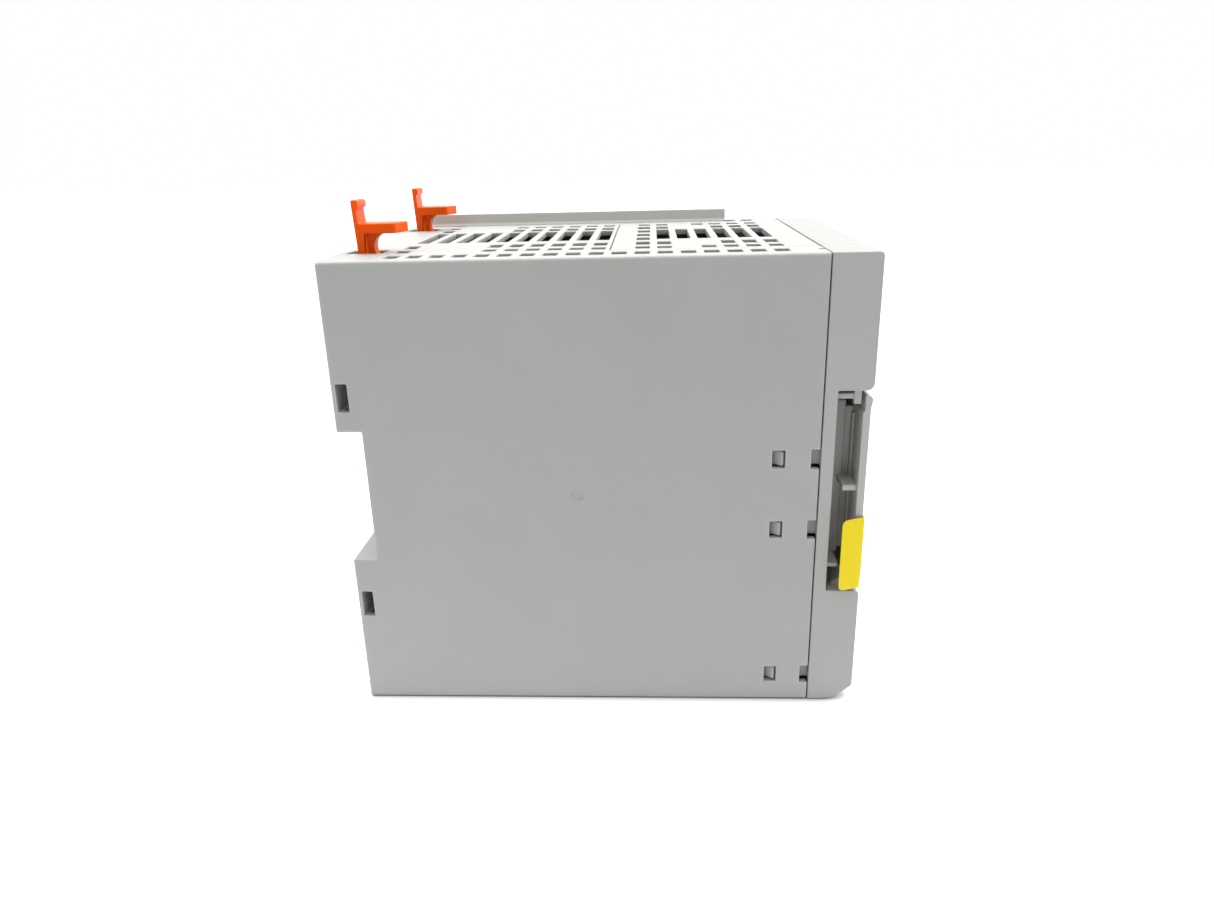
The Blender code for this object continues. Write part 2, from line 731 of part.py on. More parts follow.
def front_door():
    """Flap with a bead for the hinge rod, a rear rib, liner and liner edge, and a catch tongue."""
    origin = row_point((DOOR_X[0] + DOOR_X[1]) / 2, HINGE_D, HINGE_Z)
    bead = DOOR_FRONT - HINGE_D
    top_round = 1.7
    relief_back = DOOR_BACK + 0.45
    relief_z = 81.5
    bead_end = math.degrees(math.acos((DOOR_BACK - HINGE_D) / bead))
    side_view = [
        (DOOR_BACK, relief_z),
        (relief_back, relief_z + 0.4),
        *arc((relief_back + 0.3, DOOR_TOP - 0.3), 0.3, 180, 90, 2),
        *arc((DOOR_FRONT - top_round + 0.5, DOOR_TOP - top_round), top_round, 73, 0, 4)[:-1],
        (DOOR_FRONT, DOOR_TOP - 2 * top_round),
        *arc((HINGE_D, HINGE_Z), bead, 0, bead_end - 360, 10),
    ]
    door = outline("front_door", side_view, "x", DOOR_X, DOOR_GREY, origin)
    liner = box("door_liner", (9.0, 96.0), (130.2, DOOR_BACK + 0.8), (42.0, 79.0))
    edge_x = (PANEL_EDGE[1] + GAP, PANEL_EDGE[1] + GAP + 1.2)
    edge = box("liner_edge", edge_x, (127.8, DOOR_BACK + 0.5), (41.0, 80.3))
    rib = box("door_rib", (1.5, PANEL_EDGE[0] - GAP), (127.2, DOOR_BACK + 0.5), (60.7, 62.2))
    tongue = box("door_tongue", (47.0, 53.0), (126.5, DOOR_BACK + 0.6), (80.2, 81.4))
    join(door, liner, edge, rib, tongue)
    cheek_gap = (129.0, DOOR_FRONT + THROUGH)
    notches = boxes(
        "cheek_notches",
        [((x - GAP, x + CHEEK_WIDTH + GAP), cheek_gap, (33.0, HINGE_Z + 1.85)) for x in CHEEK_X],
    )
    bore = cylinder("rod_bore", "x", (HINGE_D, HINGE_Z), (2.0, WIDTH), ROD_BORE, sides=12)
    cut(door, notches, bore)
    return door


def door_hinge_rod():
    place = (HINGE_D, HINGE_Z)
    return cylinder("door_hinge_rod", "x", place, (2.4, 96.4), ROD_RADIUS, SPRING_STEEL, sides=12)


def pull_tab():
    """Yellow tab: a thin sheet on the door's front, bent rearwards and outwards past its left end."""
    sheet = 0.3
    flap_z = (34.3, 54.0)
    start = (0.1, DOOR_FRONT + 0.1)
    end = (-2.2, 127.0)
    origin = row_point(0, HINGE_D, HINGE_Z)
    length = math.dist(start, end)
    corner = 1.5
    flap_view = [
        (0.0, flap_z[0]),
        *arc((length - corner, flap_z[0] + corner), corner, -90, 0, 4),
        *arc((length - corner, flap_z[1] - corner), corner, 0, 90, 4),
        (0.0, flap_z[1]),
    ]
    flap = outline("tab_flap", flap_view, "x", (0.0, sheet))
    lean = math.atan2(start[0] - end[0], start[1] - end[1])
    outward = Vector((-math.cos(lean), -math.sin(lean), 0))
    flap.rotation_euler.z = math.pi + lean
    flap.location = row_point(start[0], start[1], flap_z[0]) + outward * sheet / 2 * MM
    front = box("pull_tab", (-0.05, 9.0), (start[1], start[1] + sheet), (37.5, 54.0), TAB_YELLOW, origin)
    join(front, flap)
    return front


# ---------------------------------------------------------------- circuit boards and what they carry
def side_board(name, x):
    return box(name, (x, x + BOARD), SIDE_BOARD_D, SIDE_BOARD_Z, BOARD_GREEN)


def front_board():
    board = box(
        "front_board",
        (5, WIDTH - 5),
        (FRONT_BOARD_D, FRONT_BOARD_D + BOARD),
        (5, HEIGHT - 5),
        BOARD_GREEN,
    )
    through = (FRONT_BOARD_D - 1, FRONT_BOARD_D + BOARD + 1)
    cut(board, box("card_gate", (31.3, 36.3), through, (47.5, 76.5)))
    for number, place in enumerate(BOARD_SCREWS, 1):
        cut(board, cylinder(f"screw_hole_{number}", "d", place, through, 1.6, sides=12))
    return board


def heat_sink():
    """Finned block: the fins stand along the air's way from base vents to top vents."""
    base = (34.7, 37.7)
    tip = 53.0
    fin = 1.3
    pitch = 4.4
    depths = (44.0, 84.0)
    count = int((depths[1] - depths[0] - fin) / pitch) + 1
    comb = [(base[0], depths[0])]
    for number in range(count):
        near = depths[0] + number * pitch
        comb += [(tip, near), (tip, near + fin)]
        if number < count - 1:
            comb += [(base[1], near + fin), (base[1], near + pitch)]
    comb.append((base[0], depths[0] + (count - 1) * pitch + fin))
    return outline("heat_sink", comb, "z", (48.0, 110.0), HEAT_SINK_BLUE)


def chips():
    """Packages on the right of the main board."""
    face = MAIN_BOARD_X + BOARD + GAP
    box("processor", (face, face + 2.5), (53, 75), (64, 86), CHIP_BLACK)
    for number, z in enumerate(((60, 72), (78, 90)), 1):
        box(f"memory_chip_{number}", (face, face + 1.2), (25, 37), z, CHIP_BLACK)
    box("network_chip", (face, face + 1.5), (92, 104), (18, 30), CHIP_BLACK)


def battery_and_holder():
    """Coin cell in a round well, on the left of the main board."""
    centre = (70.0, 30.0)
    cell_radius = 10.0
    holder_back = MAIN_BOARD_X - GAP
    holder_x = (holder_back - 4.9, holder_back)
    holder = box("battery_holder", holder_x, around(centre[0], 25), around(centre[1], 25), CONNECTOR_BLACK)
    well = (holder_x[0] - THROUGH, holder_x[1] - 1.0)
    cut(holder, cylinder("cell_well", "x", centre, well, cell_radius + GAP, sides=24))
    cell = (holder_x[1] - 1.0 - GAP - 3.2, holder_x[1] - 1.0 - GAP)
    cylinder("battery", "x", centre, cell, cell_radius, CELL_STEEL, sides=24)


def card_socket():
    face = MAIN_BOARD_X + BOARD + GAP
    socket = box("card_socket", (face, CARD_X[1] + 0.8), (86.0, 116.4), (48.4, 75.6), SHIELD_STEEL)
    way = box(
        "card_way",
        (CARD_X[0] - GAP, CARD_X[1] + GAP),
        (88.0, 116.4 + THROUGH),
        (CARD_Z[0] - GAP, CARD_Z[1] + GAP),
    )
    cut(socket, way)


def memory_card():
    """Card with one corner cut off, standing out of its slot behind the door."""
    corner = 3.0
    origin = row_point(sum(CARD_X) / 2, CARD_D[1], sum(CARD_Z) / 2)
    view = [
        (CARD_D[0], CARD_Z[0]),
        (CARD_D[1], CARD_Z[0]),
        (CARD_D[1], CARD_Z[1]),
        (CARD_D[0] + corner, CARD_Z[1]),
        (CARD_D[0], CARD_Z[1] - corner),
    ]
    return outline("memory_card", view, "x", CARD_X, CONNECTOR_BLACK, origin)


def board_links():
    """Plug connectors between the side boards and the front board."""
    end = FRONT_BOARD_D - GAP
    main_face = MAIN_BOARD_X + BOARD + GAP
    power_face = POWER_BOARD_X - GAP
    box("board_link_main", (main_face, main_face + 5), (end - 8.7, end), (84, 104), CONNECTOR_BLACK)
    box("board_link_power", (power_face - 5, power_face), (end - 8.7, end), (30, 50), CONNECTOR_BLACK)


def power_parts():
    """Supply parts on the left of the power board."""
    face = POWER_BOARD_X - GAP
    core = box("transformer", (face - 18, face), (42, 60), (40, 66), CHIP_BLACK)
    winding = cylinder("winding", "z", (face - 11.5, 51), (44.0, 62.0), 11.0, sides=20)
    join(core, winding)
    choke = cylinder("input_choke", "x", (90, 26), (face - 13, face), 7.0, COIL_COPPER, sides=16)
    waist_cut = cylinder("choke_bore", "x", (90, 26), (face - 16, face - 5), 3.0, sides=12)
    cut(choke, waist_cut)
    for number, z in enumerate((62.0, 76.0, 90.0), 1):
        reach = (face - 22, face)
        cylinder(f"capacitor_{number}", "x", (80, z), reach, 5.0, CAPACITOR_SLEEVE, sides=16)
    cylinder("fuse", "z", (face - 4, 102), (60, 80), 2.6, FUSE_GLASS, sides=12)


def board_screw(number, place):
    name = f"board_screw_{number}"
    head = cylinder(name, "d", place, (FRONT_BOARD_D - 2.1, FRONT_BOARD_D - GAP), 2.75, SPRING_STEEL, 12)
    join(head, cylinder(name + "_shank", "d", place, (FRONT_BOARD_D - 1, 121.5), 1.2, sides=12))


# ---------------------------------------------------------------- sockets and controls
def network_socket(number, x):
    """Shielded eight-way socket, with the keyway for the plug's latch at the bottom."""
    name = f"network_socket_{number}"
    socket = box(name, around(x, 16), (FRONT_PARTS_D, SOCKET_FRONT), around(SOCKET_Z, 13.2), SHIELD_STEEL)
    mouth_d = (121.0, SOCKET_FRONT + THROUGH)
    floor = SOCKET_Z - 4.3
    mouth = box(name + "_mouth", around(x, 12), mouth_d, (floor, SOCKET_Z + 4.3))
    keyway = box(name + "_keyway", around(x, 6.2), mouth_d, (floor - 1.2, floor + 1))
    cut(socket, mouth, keyway)


def power_header():
    """Shrouded four-way supply header."""
    header = box(
        "power_header",
        around(POWER_X, 20),
        (FRONT_PARTS_D, SOCKET_FRONT),
        around(SOCKET_Z, 12),
        CONNECTOR_BLACK,
    )
    mouth_d = (122.5, SOCKET_FRONT + THROUGH)
    cut(header, box("header_mouth", around(POWER_X, 17.6), mouth_d, around(SOCKET_Z, 9.6)))
    pins = []
    for step in (-1.5, -0.5, 0.5, 1.5):
        pins.append((around(POWER_X + PIN_PITCH * step, 1.0), (121.0, PIN_TIP), around(SOCKET_Z, 1.0)))
    join(header, boxes("header_pins", pins))


def usb_socket():
    x, z = USB_CENTRE
    socket = box("usb_socket", around(x, 13.2), (FRONT_PARTS_D, SOCKET_FRONT), around(z, 5.8), SHIELD_STEEL)
    mouth_d = (119.6, SOCKET_FRONT + THROUGH)
    cut(socket, box("usb_mouth", around(x, 12.4), mouth_d, around(z, 5.0)))
    box("usb_tongue", around(x, 11.0), (120.0, 131.0), (z + 0.2, z + 2.0), CONNECTOR_BLACK)


def light_pipe():
    """Clear comb that carries the status lights from the front board to the front."""
    pipe = box("light_pipe", (56.0, 76.0), (126.0, 127.5), (93.0, 114.0), LIGHT_CLEAR)
    prongs = []
    for x in STATUS_LIGHTS_X:
        for z in STATUS_LIGHTS_Z:
            prongs.append((around(x, 4.4), (127.0, 132.8), around(z, 1.4)))
    join(pipe, boxes("light_prongs", prongs))


def mode_switch():
    """Three-position slide switch: its lever stands through the recess floor."""
    x, z = SWITCH_CENTRE
    body = box("mode_switch_body", around(x, 10), (FRONT_PARTS_D, 121.6), around(z, 14), CONNECTOR_BLACK)
    cut(body, box("lever_track", around(x, 3.0), (119.6, 124), around(z, 9.0)))
    origin = row_point(x, RECESS_FLOOR, z)
    box("mode_switch_lever", around(x, 2.4), (119.9, 126.5), around(z, 4.0), SWITCH_IVORY, origin)


def reset_control():
    """Push button with a flange behind the recess floor, and the switch it presses."""
    box(
        "reset_switch_body",
        around(RESET_CENTRE[0], 6),
        (FRONT_PARTS_D, 120.2),
        around(RESET_CENTRE[1], 6),
        CONNECTOR_BLACK,
    )
    origin = row_point(RESET_CENTRE[0], RECESS_FLOOR, RESET_CENTRE[1])
    button = cylinder(
        "reset_button", "d", RESET_CENTRE, (121.3, 125.4), 2.0, SWITCH_IVORY, 16, origin
    )
    join(button, cylinder("reset_flange", "d", RESET_CENTRE, (121.3, 122.1), 2.8, sides=16))


# ---------------------------------------------------------------- assembly
main_housing()
top_hatch()
marker_strip()
ground_contact()
rail_latch("rail_latch_left", LATCH_X)
rail_latch("rail_latch_right", mirror_x(LATCH_X))
latch_spring("latch_spring_left", LATCH_X)
latch_spring("latch_spring_right", mirror_x(LATCH_X))
front_cover()
front_door()
door_hinge_rod()
pull_tab()
side_board("main_board", MAIN_BOARD_X)
side_board("power_board", POWER_BOARD_X)
front_board()
heat_sink()
chips()
battery_and_holder()
card_socket()
memory_card()
board_links()
power_parts()
for screw_number, screw_place in enumerate(BOARD_SCREWS, 1):
    board_screw(screw_number, screw_place)
for socket_number, socket_x in enumerate(NETWORK_X, 1):
    network_socket(socket_number, socket_x)
power_header()
usb_socket()
light_pipe()
mode_switch()
reset_control()
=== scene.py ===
"""Looks of the rail-mounted controller module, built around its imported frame.

Lengths are in millimetres in the part's own frame (+X right, +Y rearwards, +Z up) and become metres
where a mesh is made. Texture scales count features per metre.
"""

import json
import math
import random

import bmesh
import bpy
from mathutils import Matrix, Vector


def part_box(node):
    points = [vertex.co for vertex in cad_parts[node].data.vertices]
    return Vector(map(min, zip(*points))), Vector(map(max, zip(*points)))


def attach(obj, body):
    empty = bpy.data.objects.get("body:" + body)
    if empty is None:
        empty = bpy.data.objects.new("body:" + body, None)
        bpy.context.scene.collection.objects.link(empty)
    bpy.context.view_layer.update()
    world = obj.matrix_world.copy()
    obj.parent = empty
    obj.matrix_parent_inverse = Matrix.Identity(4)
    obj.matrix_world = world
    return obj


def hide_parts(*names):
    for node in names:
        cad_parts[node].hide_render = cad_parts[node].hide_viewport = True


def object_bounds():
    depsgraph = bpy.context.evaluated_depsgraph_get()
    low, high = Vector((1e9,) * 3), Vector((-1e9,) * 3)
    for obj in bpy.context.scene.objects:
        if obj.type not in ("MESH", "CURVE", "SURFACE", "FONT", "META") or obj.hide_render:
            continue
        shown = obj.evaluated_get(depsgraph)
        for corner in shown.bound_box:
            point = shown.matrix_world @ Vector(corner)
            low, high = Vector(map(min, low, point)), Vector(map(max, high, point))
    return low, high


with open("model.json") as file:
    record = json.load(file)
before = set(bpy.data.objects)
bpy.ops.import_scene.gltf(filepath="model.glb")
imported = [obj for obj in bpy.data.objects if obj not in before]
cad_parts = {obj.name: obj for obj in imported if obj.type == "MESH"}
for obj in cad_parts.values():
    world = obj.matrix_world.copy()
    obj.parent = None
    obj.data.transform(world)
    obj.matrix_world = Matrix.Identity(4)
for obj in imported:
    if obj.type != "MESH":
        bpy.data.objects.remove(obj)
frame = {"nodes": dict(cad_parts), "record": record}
cad_low, cad_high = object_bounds()
nodes = frame["nodes"]
record = frame["record"]

MM = 0.001
WELD = 0.002 * MM
# Neighbouring faces within this angle are one flat face
FLAT = math.radians(0.5)
# Edges sharper than these are rounded on a CAD shape, and shaded crisp on a built piece
ROUNDED_FROM = math.radians(30)
CRISP_FROM = math.radians(38)

BODY_OF = {node: body for body, members in record["behaviour"]["bodies"].items() for node in members}
SLOT_OF = {row["node"]: row["material_slot"] for row in record["subparts"]}


def span(node):
    """Lowest and highest corner of a CAD node, in millimetres."""
    low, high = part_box(node)
    return low / MM, high / MM


def middle_of(node):
    low, high = span(node)
    return (low + high) / 2


# ---------------------------------------------------------------- material helpers
def linear(level):
    """One sRGB level of 0 to 255 as a linear value."""
    share = level / 255
    return share / 12.92 if share <= 0.04045 else ((share + 0.055) / 1.055) ** 2.4


def rgb(*levels):
    """A linear colour from sRGB levels of 0 to 255."""
    return [linear(level) for level in levels] + [1.0]


def shade(colour, factor):
    """A colour made lighter or darker by a factor."""
    return [min(1.0, value * factor) for value in colour[:3]] + [1.0]


class Paint:
    """A Principled material whose pattern comes from object coordinates, so it needs no UVs."""

    # Noise stays mostly between these, so a drift spreads over this much of it
    DRIFT = (0.3, 0.7)

    def __init__(self, name, roughness=0.5, metallic=0.0, coat=0.0, **sockets):
        self.material = bpy.data.materials.new(name)
        self.material.use_nodes = True
        self.tree = self.material.node_tree
        self.shader = self.tree.nodes["Principled BSDF"]
        self.place = self.tree.nodes.new("ShaderNodeTexCoord").outputs["Object"]
        self.shader.inputs["Roughness"].default_value = roughness
        self.shader.inputs["Metallic"].default_value = metallic
        self.shader.inputs["Coat Weight"].default_value = coat
        for socket, value in sockets.items():
            self.shader.inputs[socket.replace("_", " ")].default_value = value

    def node(self, kind, **inputs):
        """A new shader node with values or links on its inputs."""
        made = self.tree.nodes.new(kind)
        for socket, value in inputs.items():
            self.feed(made.inputs[socket.replace("_", " ")], value)
        return made

    def feed(self, socket, value):
        """Sets an input, or links another node's output to it."""
        if isinstance(value, bpy.types.NodeSocket):
            self.tree.links.new(value, socket)
        else:
            socket.default_value = value

    def spread(self, stretch):
        """Object coordinates stretched by a factor along each axis."""
        if stretch == (1, 1, 1):
            return self.place
        return self.node("ShaderNodeMapping", Vector=self.place, Scale=stretch).outputs["Vector"]

    def noise(self, scale, detail=2.0, roughness=0.5, stretch=(1, 1, 1)):
        made = self.node(
            "ShaderNodeTexNoise",
            Vector=self.spread(stretch),
            Scale=scale,
            Detail=detail,
            Roughness=roughness,
        )
        return made.outputs["Fac"]

    def cells(self, scale, stretch=(1, 1, 1)):
        """Scattered cells: their distance from the nearest centre, and a colour for each."""
        return self.node("ShaderNodeTexVoronoi", Vector=self.spread(stretch), Scale=scale).outputs

    def remap(self, value, from_low, from_high, to_low, to_high):
        """A value's place between two bounds, carried over to two other bounds."""
        made = self.node("ShaderNodeMapRange", Value=value)
        for number, bound in enumerate((from_low, from_high, to_low, to_high), 1):
            made.inputs[number].default_value = bound
        return made.outputs["Result"]

    def mix(self, factor, first, second):
        """The first colour where the factor is 0, and the second where it is 1."""
        made = self.node("ShaderNodeMix")
        made.data_type = "RGBA"
        self.feed(made.inputs["Factor"], factor)
        colours = [socket for socket in made.inputs if socket.type == "RGBA"]
        self.feed(colours[0], first)
        self.feed(colours[1], second)
        return next(socket for socket in made.outputs if socket.type == "RGBA")

    def math(self, operation, first, second):
        made = self.node("ShaderNodeMath")
        made.operation = operation
        self.feed(made.inputs[0], first)
        self.feed(made.inputs[1], second)
        return made.outputs[0]

    def colour(self, value):
        self.feed(self.shader.inputs["Base Color"], value)

    def mottle(self, colour, amount, scale, stretch=(1, 1, 1)):
        """A base colour that drifts a little lighter and darker."""
        drift = self.node("ShaderNodeValToRGB", Fac=self.noise(scale, 3.0, 0.6, stretch))
        darker, lighter = drift.color_ramp.elements
        darker.position, lighter.position = self.DRIFT
        darker.color, lighter.color = shade(colour, 1 - amount), shade(colour, 1 + amount)
        return drift.outputs["Color"]

    def roughen(self, low, high, scale, stretch=(1, 1, 1)):
        """Roughness that drifts between two values."""
        drift = self.noise(scale, 3.0, 0.6, stretch)
        self.feed(self.shader.inputs["Roughness"], self.remap(drift, *self.DRIFT, low, high))

    def bump(self, *layers):
        """Stacks bumps, each a height and its depth in millimetres."""
        normal = None
        for height, depth in layers:
            made = self.node("ShaderNodeBump", Height=height, Distance=depth * MM, Strength=1.0)
            if normal:
                self.feed(made.inputs["Normal"], normal)
            normal = made.outputs["Normal"]
        self.feed(self.shader.inputs["Normal"], normal)


def moulded_plastic(name, colour, roughness, **sockets):
    """Light plastic with a fine spark-eroded grain, faint flow drift, and a few specks of dust."""
    paint = Paint(name, roughness, **sockets)
    specks = paint.cells(260)
    near = paint.remap(specks["Distance"], 0.03, 0.07, 1.0, 0.0)
    rare = paint.remap(specks["Color"], 0.9, 0.92, 0.0, 0.35)
    dust = paint.math("MULTIPLY", near, rare)
    paint.colour(paint.mix(dust, paint.mottle(colour, 0.018, 38), shade(colour, 0.45)))
    paint.roughen(roughness - 0.06, roughness + 0.06, 300)
    flow = paint.noise(45, 1.0)
    grain = paint.noise(3200, 2.0, 0.7)
    paint.bump((flow, 0.05), (grain, 0.012))
    return paint.material


def metal(name, colour, low, high, stretch=(1, 1, 1)):
    """Metal with fine drawn lines along the axis that is stretched least."""
    paint = Paint(name, low, 1.0)
    paint.colour(paint.mottle(colour, 0.08, 160, stretch))
    paint.roughen(low, high, 420, stretch)
    paint.bump((paint.noise(1400, 3.0, 0.6, stretch), 0.004))
    return paint.material


# ---------------------------------------------------------------- materials
# Light that soaks into the housing's thick walls
SCATTER = {
    "Subsurface_Weight": 0.5,
    "Subsurface_Scale": 0.0024,
    "Subsurface_Radius": (1.0, 0.98, 0.94),
}
HOUSING = moulded_plastic("housing_plastic", rgb(151, 152, 150), 0.5, **SCATTER)
COVER = moulded_plastic("cover_plastic", rgb(150, 149, 147), 0.5)
DOOR = moulded_plastic("door_plastic", rgb(156, 155, 151), 0.46)
# Painted light: the strip plastic is painted lighter than the housing to make up for the little light its
# place gets
STRIP = moulded_plastic("strip_plastic", rgb(186, 186, 182), 0.5)


def latch_plastic():
    """Orange that lets some light in."""
    paint = Paint(
        "latch_plastic",
        0.3,
        Subsurface_Weight=0.08,
        Subsurface_Scale=0.001,
        Subsurface_Radius=(1.0, 0.3, 0.05),
        Specular_IOR_Level=0.1,
    )
    paint.colour(paint.mottle(rgb(222, 80, 0), 0.05, 120))
    paint.roughen(0.24, 0.36, 380)
    paint.bump((paint.noise(90, 1.0), 0.04), (paint.noise(2600, 2.0), 0.004))
    return paint.material


def tab_film():
    """Yellow film with a faint pressed grain."""
    paint = Paint("tab_film", 0.45, Specular_IOR_Level=0.2)
    paint.colour(paint.mottle(rgb(206, 184, 0), 0.02, 90))
    paint.roughen(0.34, 0.46, 600)
    paint.bump((paint.noise(1900, 2.0), 0.006))
    return paint.material


LATCH = latch_plastic()
TAB = tab_film()
SPRING = metal("spring_steel", rgb(188, 189, 192), 0.22, 0.36, (1, 1, 0.08))
SHIELD = metal("shield_steel", rgb(198, 197, 194), 0.26, 0.42, (1, 0.08, 1))
ALUMINIUM = metal("heat_sink_metal", rgb(70, 80, 98), 0.34, 0.5, (1, 1, 0.06))
COPPER = metal("coil_wire", rgb(196, 118, 66), 0.22, 0.34)
CELL = metal("cell_steel", rgb(206, 206, 204), 0.2, 0.34)
GOLD = metal("contact_gold", rgb(222, 178, 92), 0.18, 0.3)
SOLDER = metal("solder_tin", rgb(200, 202, 204), 0.25, 0.45)


def circuit_board():
    """Blue-green solder mask with a pattern of tracks and vias under it."""
    paint = Paint("circuit_board", 0.35, coat=0.3)
    lengthwise = paint.remap(paint.cells(190, (1, 0.16, 1))["Distance"], 0.42, 0.46, 0.0, 1.0)
    upright = paint.remap(paint.cells(150, (1, 1, 0.14))["Distance"], 0.44, 0.48, 0.0, 1.0)
    tracks = paint.math("MAXIMUM", lengthwise, upright)
    base = paint.mix(tracks, paint.mottle(rgb(24, 76, 78), 0.08, 60), rgb(40, 100, 100))
    vias = paint.remap(paint.cells(330)["Distance"], 0.09, 0.12, 1.0, 0.0)
    paint.colour(paint.mix(vias, base, rgb(150, 150, 120)))
    paint.roughen(0.3, 0.42, 200)
    paint.bump((tracks, 0.03))
    return paint.material


def hard_plastic(name, colour, roughness):
    """Plain plastic, resin or ceramic, with a fine grain."""
    paint = Paint(name, roughness)
    paint.colour(paint.mottle(colour, 0.12, 140))
    paint.roughen(roughness - 0.08, roughness + 0.08, 500)
    paint.bump((paint.noise(2800, 2.0), 0.008))
    return paint.material


def clear_plastic(name, colour, roughness):
    """Clear plastic or glass with a faint ripple."""
    paint = Paint(name, roughness, Transmission_Weight=0.85, IOR=1.49)
    paint.colour(paint.mottle(colour, 0.03, 200))
    paint.bump((paint.noise(500, 1.0), 0.006))
    return paint.material


BOARD = circuit_board()
CHIP = hard_plastic("chip_epoxy", rgb(34, 34, 36), 0.6)
CONNECTOR = hard_plastic("connector_plastic", rgb(36, 36, 38), 0.45)
SLEEVE = hard_plastic("capacitor_sleeve", rgb(28, 34, 62), 0.3)
IVORY = hard_plastic("switch_plastic", rgb(222, 220, 208), 0.4)
CERAMIC = hard_plastic("ceramic", rgb(176, 158, 128), 0.5)
FERRITE = hard_plastic("ferrite", rgb(58, 58, 60), 0.55)
CLEAR = clear_plastic("light_guide", rgb(228, 236, 228), 0.12)
GLASS = clear_plastic("fuse_glass", rgb(232, 240, 240), 0.04)
LAMP_GREEN = hard_plastic("lamp_green", rgb(150, 196, 150), 0.25)
LAMP_AMBER = hard_plastic("lamp_amber", rgb(206, 172, 104), 0.25)

PAINT_OF_SLOT = {
    "housing_plastic": HOUSING,
    "cover_plastic": COVER,
    "door_plastic": DOOR,
    "latch_plastic": LATCH,
    "tab_film": TAB,
    "spring_steel": SPRING,
    "shield_steel": SHIELD,
    "circuit_board": BOARD,
    "chip_epoxy": CHIP,
    "connector_plastic": CONNECTOR,
    "heat_sink_metal": ALUMINIUM,
    "capacitor_sleeve": SLEEVE,
    "coil_wire": COPPER,
    "cell_steel": CELL,
    "switch_plastic": IVORY,
    "light_guide": CLEAR,
    "fuse_glass": GLASS,
}


# ---------------------------------------------------------------- mesh helpers
def register(piece, body, replaced=()):
    """Links a piece, hangs it on the empty of the body that it rides on, and hides the CAD nodes that it
    stands for.
    """
    bpy.context.scene.collection.objects.link(piece)
    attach(piece, body)
    if replaced:
        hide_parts(*replaced)


def soften(piece, width, segments):
    """Rounds a piece's sharp edges by modifiers."""
    bevel = piece.modifiers.new("rounded_edges", "BEVEL")
    bevel.width = width * MM
    bevel.segments = segments
    bevel.limit_method = "ANGLE"
    bevel.angle_limit = ROUNDED_FROM
    bevel.use_clamp_overlap = False
    bevel.loop_slide = False
    bevel.miter_outer = "MITER_ARC"
    weights = piece.modifiers.new("face_weights", "WEIGHTED_NORMAL")
    weights.keep_sharp = True


def welded(node, thinnest):
    """A CAD node's shape as one closed mesh, with the triangles of its flat faces evened out."""
    shape = bmesh.new()
    shape.from_mesh(nodes[node].data)
    bmesh.ops.remove_doubles(shape, verts=shape.verts, dist=WELD)
    inner = [edge for edge in shape.edges if is_flat(edge)]
    bmesh.ops.beautify_fill(shape, faces=shape.faces[:], edges=inner, method="ANGLE")
    join_slivers(shape, thinnest * MM)
    return shape


def is_flat(edge):
    return edge.calc_face_angle(math.pi) < FLAT


def join_slivers(shape, thinnest):
    """Merges thin flat triangles across their longest side, so that a bevel can't turn them over."""
    # A dict keeps its order, so that each run joins the seams alike
    seams = {}
    for face in shape.faces:
        longest = max(face.edges, key=lambda edge: edge.calc_length())
        height = 2 * face.calc_area() / longest.calc_length()
        if height < thinnest and is_flat(longest):
            seams[longest] = True
    bmesh.ops.dissolve_edges(shape, edges=list(seams), use_verts=False, use_face_split=False)


def moulding(node, width, segments=2, paint=None, thinnest=0.6):
    """A CAD node's shape with rounded edges, in place of the node.

    Flat triangles thinner than thinnest are joined first; a pierced wall needs a larger value.
    """
    shape = welded(node, thinnest)
    mesh = bpy.data.meshes.new(node + "_moulding")
    shape.to_mesh(mesh)
    shape.free()
    mesh.materials.append(paint or PAINT_OF_SLOT[SLOT_OF[node]])
    mesh.shade_smooth()
    piece = bpy.data.objects.new(node + "_moulding", mesh)
    register(piece, BODY_OF[node], [node])
    soften(piece, width, segments)


# ---------------------------------------------------------------- pieces built from solids
SCRATCH = bpy.data.meshes.new("scratch")


def facing(direction, place=(0, 0, 0)):
    """A placement whose own Z axis points along a direction."""
    turn = Vector(direction).to_track_quat("Z", "Y").to_matrix().to_4x4()
    return Matrix.Translation(Vector(place)) @ turn


